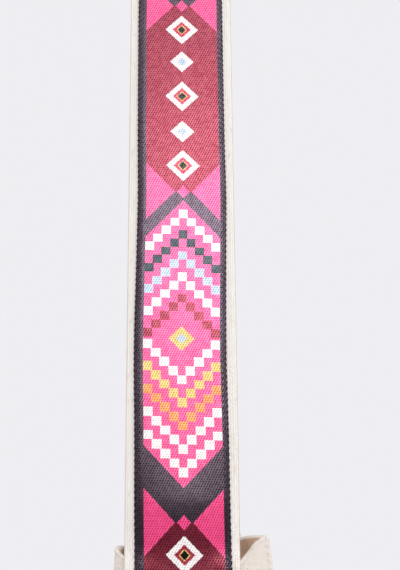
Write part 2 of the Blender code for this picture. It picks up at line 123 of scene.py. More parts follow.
# The ribbon's pattern. Columns run across it, and cells along it from a crossing's middle
COLUMNS = 9
REPEAT = 61.65
PANEL_END = 24.31
LOZENGE_TIP = 25.40
LOZENGE_END = 58.16
WAIST = 1.03
WEDGE = COLUMNS / 2 - WAIST + 0.01
KNOT = 0.78
EYE_SPREAD = 8.895
STUD_SPREAD = 4.575
EYE_RINGS = ((2.07, 1.95, "white"), (1.17, 1.09, "crimson"), (0.68, 0.65, "yellow"), (0.54, 0.52, "black"))
STUD_RINGS = ((1.48, 1.38, "white"), (0.57, 0.55, "light_blue"))
HEART_RINGS = ((1.50, 1.40, "yellow"), (0.60, 0.56, "light_blue"))
CHEVRON_START = 1.13
CHEVRON_STEP = 2.53
CHEVRONS = 5
STEP_HALF = 0.555
UPPER_STEPS = ("white", "teal", "light_blue", "white", "burgundy")
LOWER_STEPS = ("white", "white", "orange", "yellow", "white")
WEAVE_STEP = 0.42


def number(name, default, description, **more):
    return bpy.props.FloatProperty(name=name, default=default, description=description, precision=4, **more)


def length(name, default, description):
    return number(name, default, description, unit="LENGTH", subtype="DISTANCE")


def angle(name, degrees, description):
    return number(name, math.radians(degrees), description, unit="ROTATION", subtype="ANGLE")


def four(name, default, description, **more):
    """One value for each upright corner: front left, front right, back right, back left."""
    return bpy.props.FloatVectorProperty(name=name, default=default, description=description, size=4, **more)


def four_lengths(name, default, description):
    return four(name, default, description, unit="LENGTH", precision=4)


def colour(name, red, green, blue, description):
    """A colour, given as sRGB channels from 0 to 255."""
    return four(name, srgb(red, green, blue), description, subtype="COLOR", min=0.0, max=1.0)


def srgb(*channels):
    """The linear values that a shader takes, for sRGB channels from 0 to 255."""
    shares = [channel / 255 for channel in channels]
    linear = [s / 12.92 if s <= 0.04045 else ((s + 0.055) / 1.055) ** 2.4 for s in shares]
    return (*linear, 1.0)


class BodySizes(bpy.types.PropertyGroup):
    """The sewn body"""

    height: length("Height", WALL_HIGH.z, "Height of the corners, about")
    base_length: length("Base length", 0.350, "Length of the base, outside")
    end_swell: length("End swell", 0.008, "How far each end wall stands out at its widest")
    widest: length("Widest at", 0.180, "Height at which the body is longest")
    base_depth: length("Base depth", 0.104, "Depth of the base, outside")
    taper_start: length("Taper start", 0.135, "Height above which the depth narrows to the mouth")
    fillet: length("Base round", 0.010, "Radius of the round along the base")
    corner: length("Corner round", 0.0045, "Radius of the four upright corners")
    belly: length("Belly", 0.004, "How far the long walls stand out between their corners")
    pinch: length("Mouth pinch", 0.0068, "How far the long walls draw in at the mouth")
    pinch_start: length("Pinch start", 0.160, "Height above which the long walls draw in")
    rim_sag: length("Rim sag", 0.012, "How far the long rims sag between their corners")
    end_dip: length("End rim dip", WALL_HIGH.z - GUSSET_HIGH.z + 0.011, "How far the rims dip at the strap")
    corner_depths: four_lengths("Corner depths", (0.0325, 0.0332, 0.0412, 0.0335),
                                "How far each corner of the mouth is from the middle")
    end_starts: four("End rise starts", (0.50, 0.50, 0.575, 0.50),
                     "Share of the end wall's half width at which its rim starts to rise to a corner")
    end_spans: four("End rise spans", (0.60, 0.60, 0.235, 0.60), "Share over which it rises")
    corner_heights: four_lengths("Corner heights", (0.2985, 0.2978, 0.302, 0.300), "Height of each corner")
    corner_tucks: four_lengths("Corner tucks", (0.001, 0.0038, 0.0, 0.001),
                               "How far each corner draws in just below the rim")
    corner_slumps: four_lengths("Corner slumps", (0.0085, 0.0060, 0.0, 0.0030),
                                "How far each corner sinks in lower down")
    front_slump: length("Front slump", 0.0050, "How much further the front wall's middle sinks in")
    slump_height: length("Slump height", 0.240, "Height at which the walls sink in most")
    slump_spread: length("Slump spread", 0.037, "Height over which they come out again")
    ears: four_lengths("Ears", (0.0035, 0.0042, 0.0120, 0.0050),
                       "How far the long wall draws in behind each corner")
    ear_turn: length("Ear turn", 0.005, "How soon the long wall draws in behind a corner")
    ear_length: length("Ear length", 0.110, "How slowly it comes out again")
    canvas: length("Canvas", 0.0012, "Thickness of the canvas")
    lining: length("Facing cloth", 0.0010, "Thickness of the facings, patches and pocket")
    gap: length("Sewn gap", 0.0004, "Space between sewn layers")
    facing: length("Facing depth", 0.030, "How far the hem facing reaches down inside the mouth")
    hem_stitch: length("Hem stitch", 0.0265, "Distance of the hem stitching from the rim")
    tape: length("Tape width", 0.008, "Width of the tape over the inner seams")
    seam_stitch: length("Seam stitch", 0.0035, "Distance of the seam stitching from the seam")
    snap_drop: length("Snap below rim", 0.015, "How far the snap sits below the rim")
    snap_radius: length("Snap radius", 0.009, "Radius of each half of the snap")
    slack: number("Slack", 0.010, "How much larger the cloth is cut than the walls")
    most_shift: length("Most shift", 0.008, "How far the settled cloth may move")


class StrapSizes(bpy.types.PropertyGroup):
    """The strap"""

    width: length("Webbing width", 2 * STRAP_HIGH.y, "Width of the webbing")
    thickness: length("Webbing thickness", 0.0020, "Thickness of the webbing")
    ribbon_width: length("Ribbon width", 2 * RIBBON_HIGH.y, "Width of the ribbon")
    ribbon_thickness: length("Ribbon thickness", 0.0010, "Thickness of the ribbon")
    lean: angle("Lean", 23.0, "How far each leg leans in from upright")
    top_radius: length("Top radius", 0.045, "Radius of the loop's round top")
    anchor_drop: length("Anchor drop", 0.090, "How far the strap runs down each end wall")
    fold: length("Fold", 0.026, "Length of the strap's end that is folded under")
    fold_gap: length("Fold gap", 0.0006, "Space between the folded end and the strap over it")
    fold_ease: length("Fold ease", 0.014, "Height over which the strap comes down off its folded end")
    seat: length("Seat", 0.0003, "Space between the end wall and the strap")
    ribbon_end: length("Ribbon end", 0.004, "Distance of the ribbon's end from the strap's")
    stitch: length("Stitch", 0.0028, "Length from one stitch to the next")
    stand_off: length("Stand off", 0.0030, "How far the strap bows out above the rim")
    bow: length("Bow", 0.032, "Length over which the strap bows out")
    crown: length("Crown", 0.0026, "How far the strap's middle stands above its edges, above the rim")
    crown_length: length("Crown length", 0.034, "Length over which the crown flattens out")


class RibbonPattern(bpy.types.PropertyGroup):
    """The ribbon's woven pattern"""

    cell: length("Cell", 0.00427, "Length of one cell along the ribbon")
    share: number("Pattern share", 0.835, "Share of the ribbon's width that the pattern takes")
    shift: length("Shift", 0.0006, "How far the pattern's middle lies off the ribbon's, towards the back")
    skew: angle("Skew", 1.5, "How far the rows of the weave lean off square")
    above_rim: length("Crossing above rim", 0.0081, "Height of the lowest whole crossing above the corners")
    pitch_along: length("Weave pitch along", 0.00110, "Distance between the weave's dots along the ribbon")
    pitch_across: length("Weave pitch across", 0.00118, "Distance between the weave's dots across it")
    charcoal: colour("Charcoal", 82, 60, 80, "Ground and borders")
    burgundy: colour("Burgundy", 156, 15, 58, "Field with the eyes")
    pink: colour("Pink", 253, 60, 146, "Wedges and lozenge")
    crimson: colour("Crimson", 206, 30, 84, "Inner ring of the eyes")
    white: colour("White", 243, 236, 236, "Diamonds and steps")
    teal: colour("Teal", 30, 48, 60, "Steps")
    light_blue: colour("Light blue", 196, 212, 232, "Steps and small diamonds")
    yellow: colour("Yellow", 236, 202, 84, "Steps and hearts")
    orange: colour("Orange", 247, 158, 40, "Steps")
    black: colour("Black", 22, 16, 18, "Pupils of the eyes")


class ClothColours(bpy.types.PropertyGroup):
    """Colours of the plain pieces"""

    canvas: colour("Canvas", 235, 225, 217, "Body canvas")
    # The facing colour is darker and browner than the canvas: painted shade and warm bounced light of the
    # bag's inside.
    facing: colour("Facing", 205, 167, 138, "Facings and patches inside")
    binding: colour("Binding", 222, 208, 188, "Tape over the inner seams")
    pocket: colour("Pocket", 235, 224, 208, "Slip pocket")
    board: colour("Board", 176, 156, 128, "Base board")
    webbing: colour("Webbing", 253, 247, 241, "Strap webbing")
    thread: colour("Thread", 250, 243, 232, "Sewing thread on the canvas")
    dark_thread: colour("Dark thread", 66, 55, 68, "Sewing thread along the ribbon")
    snap: colour("Snap", 196, 190, 180, "Magnetic snap")


class StageSizes(bpy.types.PropertyGroup):
    """Camera, lamps and floor"""

    lens: number("Lens", 94.74, "Focal length in millimetres on a 36 mm long side")
    camera_x: length("Camera X", 0.8037, "Distance of the camera in front of the bag's middle")
    camera_y: length("Camera Y", -0.0043, "How far the camera stands to the side")
    camera_z: length("Camera Z", 0.4112, "Height of the camera")
    yaw: angle("Yaw", 1.06, "How far the camera turns to the bag's back")
    backdrop: colour("Backdrop", 239, 238, 242, "Colour behind the bag and of the floor")
    sky: number("Sky", 0.16, "Light from all round")
    glossy_sky: number("Glossy sky", 0.3, "Share of the sky that a glossy surface reflects")
    key: number("Key", 8.6, "Brightness of the lamp that the ribbon's gloss reflects")
    low_key: number("Low key", 2.4, "Brightness of the lamp under it")
    top_fill: number("Top fill", 1.8, "Brightness of the lamp over the bag")
    end_fill: number("End fill", 2.3, "Brightness of the low lamps beyond both ends of the bag")
    side_fill: number("Side fill", 3.8, "Brightness of the lamps beside the bag")
    floor_radius: length("Floor radius", 1.3, "Radius at which the floor has faded into the backdrop")


def settings(name):
    return getattr(bpy.context.scene, "bag_" + name)


def smooth(share):
    """An even start and end for a share that goes from 0 to 1."""
    share = np.clip(share, 0.0, 1.0)
    return share * share * (3 - 2 * share)


def hump(distance, spread):
    """1 at no distance, and softly less as the distance passes the spread."""
    return np.exp(-(distance / spread) ** 2)


def unit(vectors):
    """The vectors' directions, each 1 long."""
    return vectors / np.linalg.norm(vectors, axis=-1, keepdims=True)


def run_along(points):
    """The distance of each point from the first one, along the line."""
    return np.concatenate([[0.0], np.cumsum(np.linalg.norm(np.diff(points, axis=0), axis=1))])


# The body's surface: one closed loop of cloth, from the base's edge to the rim

class Walls:
    """The four walls as rows and columns of points. Columns run round the bag, and rows up it.
    Corners are numbered front left, front right, back right, back left."""

    def __init__(self, body):
        self.body = body
        bend = body.fillet / body.height
        turn = np.arange(FILLET_ROWS) / FILLET_ROWS * math.pi / 2
        self.levels = np.concatenate([bend * (1 - np.cos(turn)), np.linspace(bend, 1, WALL_ROWS + 1)])
        self.top = len(self.levels) - 1
        steps = np.linspace(-1, 1, LONG_COLUMNS + 1)
        long = COLUMN_EVENNESS * steps + (1 - COLUMN_EVENNESS) * np.sin(steps * math.pi / 2)
        self.shares = (long, np.linspace(-1, 1, END_COLUMNS + 1))
        self.points = np.concatenate([self.wall(wall, self.shares[wall % 2][:-1], self.levels[:, None])
                                      for wall in range(4)], axis=1)
        self.settle()
        self.normals = self.outward()

    def outward(self):
        """The directions that face out of the walls."""
        along = np.roll(self.points, -1, axis=1) - np.roll(self.points, 1, axis=1)
        return unit(np.cross(along, np.gradient(self.points, axis=0)))

    def half_length(self, height):
        body = self.body
        run = body.height - body.end_dip - body.widest
        climb = np.maximum(height - body.widest, 0.0)
        curved = np.minimum(climb, run)
        swell = body.end_swell * np.sin(math.pi / 2 * np.minimum(height / body.widest, 1.0))
        lean = math.tan(settings("strap").lean)
        return body.base_length / 2 + swell - lean * (curved ** 2 / (2 * run) + climb - curved)

    def half_depth(self, height, mouth, tuck=0.0, slump=0.0):
        body = self.body
        climb = np.maximum(height - body.taper_start, 0.0) / (body.height - body.taper_start)
        tucked = tuck * hump(height - 0.92 * body.height, 0.085 * body.height)
        tucked = tucked + slump * hump(height - body.slump_height, body.slump_spread)
        return body.base_depth / 2 - (body.base_depth / 2 - mouth) * climb ** 2 - tucked

    def rounded(self, over, radius):
        """How far a round edge draws a wall in, at a distance past the round's start."""
        over = np.clip(over, 0.0, radius)
        return radius - np.sqrt(radius ** 2 - over ** 2)

    def drawn_in(self, height):
        """How far the round at the base draws a wall in."""
        return self.rounded(self.body.fillet - height, self.body.fillet)

    def cornered(self, across, half):
        """How far the round upright corner draws a wall in, at a distance from the wall's middle."""
        radius = self.body.corner
        return self.rounded(np.abs(across) - (half - radius), radius)

    def belly(self, x, height):
        body = self.body
        pinch = np.maximum(height - body.pinch_start, 0.0) / (body.height - body.pinch_start)
        low = body.belly * np.sin(math.pi * np.minimum(height / body.height, 1.0))
        return (low - body.pinch * pinch ** 1.5) * (1 - (x / self.half_length(height)) ** 2)

    def folds(self, wall, share, across, height):
        """How far the soft folds of a wall stand out, and the small unevenness between them."""
        found = 0.0
        for x0, z0, x1, z1, out, width in FOLDS[wall]:
            reach = (x1 - x0) ** 2 + (z1 - z0) ** 2
            along = np.clip(((across - x0) * (x1 - x0) + (height - z0) * (z1 - z0)) / reach, 0.0, 1.0)
            off = np.hypot(across - x0 - along * (x1 - x0), height - z0 - along * (z1 - z0))
            spread = width * (0.6 + 0.8 * along)
            shape = (1 - 0.8 * (off / spread) ** 2) * hump(off, spread)
            found = found + out * shape * (0.25 + np.sin(math.pi * along)) / 1.25
        for size, turn_x, turn_z, start in ((0.5, 61.0, 23.0, wall), (0.4, -37.0, 52.0, 2.1 * wall)):
            found = found + size * MM * np.sin(turn_x * across + turn_z * height + start)
        held = smooth((1 - np.abs(share)) / 0.16) * smooth((height - 8 * MM) / (22 * MM))
        return found * held * smooth((1 - height / self.body.height) / 0.12 + 0.1)

    def wall(self, wall, share, level):
        """Points of a wall at shares from -1 to 1 across it and levels from 0 to 1 up it."""
        body = self.body
        first, second = wall, (wall + 1) % 4
        seam = body.corner * (1 - math.sqrt(0.5))
        turned = -1 if wall >= 2 else 1

        def blend(corners):
            return corners[first] + (corners[second] - corners[first]) * (share + 1) / 2

        def either(corners):
            return np.where(share < 0, corners[first], corners[second])

        if wall % 2:
            low = body.height - body.end_dip
            risen = smooth((np.abs(share) - either(body.end_starts)) / either(body.end_spans))
            risen = 0.93 * risen + 0.07 * np.abs(share) ** 3
            height = level * (low + (either(body.corner_heights) - low) * risen)
            draw = self.drawn_in(height)
            half = self.half_depth(height, either(body.corner_depths), either(body.corner_tucks),
                                   either(body.corner_slumps)) - draw
            across = share * (half - seam)
            out = self.half_length(height) - draw - self.cornered(across, half)
            out = out + self.folds(wall, share, across, height)
            return turned * np.stack(np.broadcast_arrays(out, across, turned * height), axis=-1)
        height = level * (blend(body.corner_heights) - body.rim_sag * (1 - share ** 2))
        draw = self.drawn_in(height)
        half_x = self.half_length(height) - draw
        x = share * (half_x - seam)
        slump = blend(body.corner_slumps) + body.front_slump * (wall == 0) * (1 - share ** 2)
        y = self.half_depth(height, blend(body.corner_depths), blend(body.corner_tucks), slump) - draw
        y = y + self.belly(x, height) - self.cornered(x, half_x) + self.folds(wall, share, x, height)
        for corner, gone in ((first, half_x - seam + x), (second, half_x - seam - x)):
            gone = np.maximum(gone, 0.0)
            drawn = (1 - np.exp(-gone / body.ear_turn)) * np.exp(-gone / body.ear_length)
            y = y - body.ears[corner] * drawn * smooth((level - 0.62) / 0.38)
        return turned * np.stack(np.broadcast_arrays(x, -y, turned * height), axis=-1)

    def tube(self, rows):
        """The walls as one tube, and the place of each of its vertices among the points."""
        bm = bmesh.new()
        bmesh.ops.create_cone(bm, cap_ends=False, segments=AROUND, radius1=1, radius2=1, depth=1)
        uprights = [edge for edge in bm.edges if abs(edge.verts[0].co.z - edge.verts[1].co.z) > 0.5]
        bmesh.ops.subdivide_edges(bm, edges=uprights, cuts=rows - 2)
        order = []
        flat = self.points.reshape(-1, 3)
        for vert in bm.verts:
            column = round(math.atan2(vert.co.y, vert.co.x) / (2 * math.pi) * AROUND) % AROUND
            order.append(round((vert.co.z + 0.5) * (rows - 1)) * AROUND + column)
        for vert, place in zip(bm.verts, order):
            vert.co = flat[place]
        bmesh.ops.recalc_face_normals(bm, faces=bm.faces)
        return mesh_of("settling", bm), order

    def holds(self, rows):
        """How firmly each point is held: most at the base, at the corners and under the strap."""
        weights = np.full((rows, AROUND), 0.02)
        weights[:FILLET_ROWS] = 1.0
        weights[-1] = 0.25
        column = np.arange(AROUND)
        for seam in SEAMS:
            away = np.abs((column - seam + AROUND // 2) % AROUND - AROUND // 2)
            weights[-4:, away <= 3] = 1.0
            for distance, least in ((0, 0.6), (1, 0.2)):
                near = away == distance
                weights[:, near] = np.maximum(weights[:, near], least)
        ends = ((column > SEAMS[1]) & (column < SEAMS[2])) | (column > SEAMS[3])
        under = ends & (np.abs(self.points[..., 1]) < settings("strap").width / 2 + 4 * MM)
        weights[under & (self.points[..., 2] > 0.62 * self.body.height)] = 1.0
        return weights.reshape(-1)

    def settle(self):
        """Lets the walls' cloth hang from the corners and the strap and stand on the base. It is cut a
        little larger than the walls, so that it falls into soft folds."""
        rows, scene = len(self.levels), bpy.context.scene
        mesh, order = self.tube(rows)
        obj = keep("settling", mesh)
        group, weights = obj.vertex_groups.new(name="held"), self.holds(rows)
        for index, place in enumerate(order):
            group.add([index], float(weights[place]), "REPLACE")

        cloth = obj.modifiers.new("cloth", "CLOTH")
        for key, value in CANVAS_HANG.items():
            setattr(cloth.settings, key, value)
        cloth.settings.shrink_min = -self.body.slack
        cloth.collision_settings.use_collision = False
        cloth.point_cache.frame_start = 1
        cloth.point_cache.frame_end = SETTLE_FRAMES
        for frame_number in range(1, SETTLE_FRAMES + 1):
            scene.frame_set(frame_number)
        done = obj.evaluated_get(bpy.context.evaluated_depsgraph_get()).to_mesh()
        found = np.zeros(len(order) * 3, np.float32)
        done.vertices.foreach_get("co", found)
        settled = np.zeros((len(order), 3))
        settled[order] = found.reshape(-1, 3)
        bpy.data.objects.remove(obj)
        bpy.data.meshes.remove(mesh)
        scene.frame_set(1)
        self.move(settled.reshape(self.points.shape) - self.points)

    def move(self, shift):
        """Moves the points, each by less than the most shift, and the mouth's points not outwards."""
        most = self.body.most_shift
        size = np.linalg.norm(shift, axis=-1, keepdims=True) + 1e-9
        shift *= np.tanh(size / most) * most / size
        outward = self.outward()
        out = (shift * outward).sum(axis=-1)
        mouth = smooth((self.levels[:, None] - 0.80) / 0.12)
        kept_out = out * (1 - mouth) + np.minimum(out, 0.0) * 0.6 * mouth
        self.points = self.points + shift + outward * (kept_out - out)[..., None]

    def at(self, column, row, inset=0.0):
        """Points at fractions of columns and rows, moved in from the outer face."""
        point, normal = self.face(column, row)
        return point - normal * np.broadcast_to(inset, normal.shape[:-1])[..., None]

    def face(self, column, row):
        """Points and normals of the outer face."""
        column, row = np.broadcast_arrays(np.asarray(column, float), row)
        left = np.floor(column).astype(int)
        low = np.clip(np.floor(row).astype(int), 0, self.top - 1)
        over, up = (column - left)[..., None], (row - low)[..., None]
        found = []
        for field in (self.points, self.normals):
            below, above = (field[level, left % AROUND] * (1 - over)
                            + field[level, (left + 1) % AROUND] * over for level in (low, low + 1))
            found.append(below * (1 - up) + above * up)
        return found[0], unit(found[1])

    def column(self, wall, share):
        shares = self.shares[wall % 2]
        return SEAMS[wall] + np.interp(share, shares, np.arange(len(shares)))

    def row(self, height, column):
        """The row at a height, in a column."""
        rim = self.face(column, float(self.top))[0][..., 2]
        return np.interp(height / rim, self.levels, np.arange(self.top + 1))

    def below_rim(self, column, drop):
        """The row at a distance below the rim."""
        rim = self.face(column, float(self.top))[0][..., 2]
        return np.interp(1 - drop / rim, self.levels, np.arange(self.top + 1))

    def spot(self, wall, across, height):
        """The column and row at a distance from a wall's middle, and a height."""
        half = self.half_depth(height, MOUTH_HALVES[1]) if wall % 2 else self.half_length(height)
        way = 1 if wall < 2 else -1
        column = self.column(wall, way * across / half)
        return column, self.row(height, column)


class Strap:
    """The webbing's middle line, from the loop's top down the right leg and round its folded end."""

    def __init__(self, walls):
        self.sizes = sizes = settings("strap")
        self.walls = walls
        body = walls.body
        self.rim = body.height - body.end_dip
        self.bottom = self.rim - sizes.anchor_drop
        self.fold_top = self.bottom + sizes.fold
        self.first_lift = sizes.seat + sizes.thickness / 2
        self.layer = sizes.thickness + sizes.fold_gap
        self.points = self.leg()
        self.measure()
        self.above = self.distance_at(self.rim) - self.stops
        bowed = sizes.stand_off * smooth(self.above / sizes.bow) * np.exp(-np.maximum(self.above, 0) / 0.16)
        self.points = self.points + self.normals * bowed[:, None]
        self.measure()
        self.above = self.distance_at(self.rim) - self.stops

    def measure(self):
        self.stops = run_along(self.points)
        turn = unit(np.gradient(self.points, axis=0))
        self.normals = np.stack([-turn[:, 1], turn[:, 0]], axis=1)

    def anchor(self, height, lift):
        """Points (x, z) lifted square off the right end wall's middle line."""
        lean = (self.walls.half_length(height + MM) - self.walls.half_length(height - MM)) / (2 * MM)
        scale = lift / np.hypot(1, lean)
        return np.stack([self.walls.half_length(height) + scale, height - lean * scale], axis=-1)

    def leg(self):
        sizes, step = self.sizes, 0.75 * MM
        foot = self.anchor(np.array([self.rim]), self.first_lift)[0]
        radius, lean = sizes.top_radius, sizes.lean
        straight = (foot[0] - radius * math.cos(lean)) / math.sin(lean)
        centre = foot[1] + straight * math.cos(lean) - radius * math.sin(lean)
        arc = np.linspace(0, math.pi / 2 - lean, round(radius * (math.pi / 2 - lean) / step))
        top = np.stack([radius * np.sin(arc), centre + radius * np.cos(arc)], axis=-1)
        share = np.linspace(0, 1, round(straight / step))[1:-1, None]
        run = top[-1] * (1 - share) + foot * share
        down = np.linspace(self.rim, self.bottom, round(sizes.anchor_drop / step))
        ease = 1 - smooth((down - self.fold_top) / sizes.fold_ease)
        outer = self.anchor(down, self.first_lift + self.layer * ease)
        self.outer_rows = len(top) + len(run) + len(outer)
        turn = np.linspace(0, math.pi, 9)[1:-1]
        bend = self.anchor(self.bottom - self.layer / 2 * np.sin(turn),
                           self.first_lift + self.layer / 2 * (1 + np.cos(turn)))
        up = np.linspace(self.bottom, self.fold_top, round(sizes.fold / step))
        return np.concatenate([top, run, outer, bend, self.anchor(up, self.first_lift)])

    def at(self, along, across, lift):
        """Points at a distance along the strap from its top's middle, below 0 on the left leg."""
        along, across, lift = np.broadcast_arrays(np.asarray(along, float), across, lift)
        distance = np.abs(along)
        above = np.interp(distance, self.stops, self.above)
        crown = self.sizes.crown * smooth(above / (12 * MM)) * hump(above, self.sizes.crown_length)
        lift = lift - crown * (across / (self.sizes.width / 2)) ** 2
        place = [np.interp(distance, self.stops, self.points[:, axis]) for axis in (0, 1)]
        normal = [np.interp(distance, self.stops, self.normals[:, axis]) for axis in (0, 1)]
        size = np.hypot(*normal)
        x = place[0] + normal[0] / size * lift
        z = place[1] + normal[1] / size * lift
        return np.stack([np.where(along < 0, -x, x), across, z], axis=-1)

    def sewn(self, along, across, lift):
        """A row of stitches: its points, and the directions that face out of the strap there."""
        points = self.at(along, across, lift)
        return points, self.at(along, across, lift + MM) - points

    def sway(self, along):
        """How far the ribbon wanders off the webbing's middle."""
        over = np.abs(along) - self.distance_at(SWAY_HEIGHT)
        return MM * sum(size * hump(over - middle, spread) for size, middle, spread in SWAYS)

    def distance_at(self, height):
        """How far down the right leg the strap passes a height."""
        outer = slice(0, self.outer_rows)
        return float(np.interp(-height, -self.points[outer, 1], self.stops[outer]))

    @property
    def outer_end(self):
        return float(self.stops[self.outer_rows - 1])


# Meshes

def keep(name, mesh, *materials):
    """An object for a finished mesh, shaded smooth and linked to the scene."""
    for made_of in materials:
        mesh.materials.append(made_of)
    mesh.shade_smooth()
    obj = bpy.data.objects.new(name, mesh)
    bpy.context.scene.collection.objects.link(obj)
    return obj


def mesh_of(name, bm):
    mesh = bpy.data.meshes.new(name)
    bm.to_mesh(mesh)
    bm.free()
    return mesh


def grid_mesh(name, columns, rows, place, closed=False):
    """A grid whose corners are moved to place(column, row), which gives points and UV in metres, for
    the map "cloth" and sometimes also for the map "edges". A closed grid's last column meets its
    first, and its two ends are filled."""
    bm = bmesh.new()
    bmesh.ops.create_grid(bm, x_segments=columns, y_segments=rows, size=0.5)
    mesh = mesh_of(name, bm)
    flat = np.zeros(len(mesh.vertices) * 3, np.float32)
    mesh.vertices.foreach_get("co", flat)
    flat = flat.reshape(-1, 3)
    points, uv = place(np.round((flat[:, 0] + 0.5) * columns), np.round((flat[:, 1] + 0.5) * rows))
    mesh.vertices.foreach_set("co", np.ascontiguousarray(points, np.float32).ravel())
    corners = np.zeros(len(mesh.loops), np.int32)
    mesh.loops.foreach_get("vertex_index", corners)
    for map_name, part in zip(("cloth", "edges"), np.split(uv, uv.shape[1] // 2, axis=1)):
        layer = mesh.uv_layers.new(name=map_name)
        layer.data.foreach_set("uv", np.ascontiguousarray(part[corners], np.float32).ravel())
    if closed:
        bm = bmesh.new()
        bm.from_mesh(mesh)
        bmesh.ops.remove_doubles(bm, verts=bm.verts, dist=MM / 1000)
        bmesh.ops.holes_fill(bm, edges=[edge for edge in bm.edges if edge.is_boundary], sides=0)
        bmesh.ops.recalc_face_normals(bm, faces=bm.faces)
        bm.to_mesh(mesh)
        bm.free()
    mesh.update()
    return mesh


def thicken(obj, thickness, edge=0.3 * MM, levels=0):
    """Gives a sheet its thickness, inwards from the modelled face, with softened edges."""
    wall = obj.modifiers.new("thickness", "SOLIDIFY")
    wall.thickness = thickness
    wall.offset = -1
    if edge:
        soft = obj.modifiers.new("edge", "BEVEL")
        soft.width = edge
        soft.segments = 2
        soft.limit_method = "ANGLE"
        soft.angle_limit = math.radians(50)
    if levels:
        surface = obj.modifiers.new("surface", "SUBSURF")
        surface.levels = surface.render_levels = levels


def finish_piece(obj, slot, *nodes, flat=None, held="stretched", on=()):
    """Puts a piece on the bag's one body, in place of CAD nodes, which it hides. Its slot, and a sheet's
    flat size, how it is held and what it is sewn to, are not used."""
    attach(obj, BODY)
    if nodes:
        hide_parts(*nodes)
    return obj


def section_loop(half_width, low, high, edge, across):
    """A flat band's closed section as (y, lift): its top from -Y to +Y, then its underside back."""
    turn = np.linspace(-math.pi / 2, math.pi / 2, edge + 2)[1:-1]
    radius = (high - low) / 2
    inner = half_width - radius
    top = np.linspace(-inner, inner, across + 1)
    end_y, end_lift = inner + radius * np.cos(turn), (low + high) / 2 - radius * np.sin(turn)
    y = np.concatenate([top, end_y, top[::-1], -end_y])
    lift = np.concatenate([np.full(across + 1, high), end_lift, np.full(across + 1, low), end_lift[::-1]])
    return y, lift


def stitches(name, rows, pitch, radius, material, fill=0.8):
    """Rows of stitches in one piece: one small rounded bar after another along each row. A row is
    its points and the directions that face out of the cloth there."""
    small = bmesh.new()
    bmesh.ops.create_uvsphere(small, u_segments=6, v_segments=4, radius=1.0)
    bar = mesh_of(name + "_bar", small)
    bm = bmesh.new()
    for points, ups in rows:
        run = run_along(points)
        count = max(2, round(run[-1] / pitch))
        stops = (np.arange(count) + 0.5) / count * run[-1]
        places, outs = (np.stack([np.interp(stops, run, field[:, axis]) for axis in range(3)], axis=1)
                        for field in (points, ups))
        for place, ahead, out in zip(places, np.gradient(places, axis=0), outs):
            ahead, out = Vector(ahead).normalized(), Vector(out)
            side = out.cross(ahead).normalized()
            turn = Matrix((ahead * pitch * fill / 2, side * radius, ahead.cross(side) * radius))
            before = len(bm.verts)
            bm.from_mesh(bar)
            bm.verts.ensure_lookup_table()
            bmesh.ops.transform(bm, matrix=Matrix.Translation(place) @ turn.transposed().to_4x4(),
                                verts=bm.verts[before:])
    bpy.data.meshes.remove(bar)
    return keep(name, mesh_of(name, bm), material)


def rounded_plate(name, box, corner, edge, made_of):
    """A flat plate that fills a box, with round corners and a softened edge."""
    low, high = box
    bm = bmesh.new()
    bmesh.ops.create_circle(bm, cap_ends=True, segments=96, radius=1.0)
    for vert in bm.verts:
        turn = math.atan2(vert.co.y, vert.co.x)
        side_x, side_y = math.copysign(1, math.cos(turn)), math.copysign(1, math.sin(turn))
        vert.co.x = side_x * (high.x - corner) + corner * math.cos(turn)
        vert.co.y = side_y * (high.y - corner) + corner * math.sin(turn)
        vert.co.z = low.z
    raised = bmesh.ops.extrude_face_region(bm, geom=bm.faces[:])
    verts = [item for item in raised["geom"] if isinstance(item, bmesh.types.BMVert)]
    bmesh.ops.translate(bm, vec=(0, 0, high.z - low.z), verts=verts)
    rims = [side for side in bm.edges if abs(side.verts[0].co.z - side.verts[1].co.z) < MM / 100]
    bmesh.ops.bevel(bm, geom=rims, offset=edge, segments=3, profile=0.5, affect="EDGES", material=-1)
    bmesh.ops.recalc_face_normals(bm, faces=bm.faces)
    layer = bm.loops.layers.uv.new("cloth")
    for face in bm.faces:
        for loop in face.loops:
            loop[layer].uv = loop.vert.co.xy
    return keep(name, mesh_of(name, bm), made_of)


# Shader maths

class Value:
    """A shader socket that takes part in Python expressions. Its operators are set below."""

    def __init__(self, shade, socket):
        self.shade, self.socket = shade, socket

    def math(self, operation, *values):
        return self.shade.math(operation, self, *values)

    def __rsub__(self, other):
        return self.shade.math("SUBTRACT", other, self)


def one_node(operation):
    """A method of Value that adds one Math node."""
    return lambda value, *others: value.math(operation, *others)


for method, operation in {
        "__add__": "ADD", "__radd__": "ADD", "__sub__": "SUBTRACT", "__mul__": "MULTIPLY",
        "__rmul__": "MULTIPLY", "__truediv__": "DIVIDE", "__lt__": "LESS_THAN", "__gt__": "GREATER_THAN",
        "__abs__": "ABSOLUTE", "floor": "FLOOR", "part": "FRACT", "least": "MINIMUM",
        "most": "MAXIMUM"}.items():
    setattr(Value, method, one_node(operation))


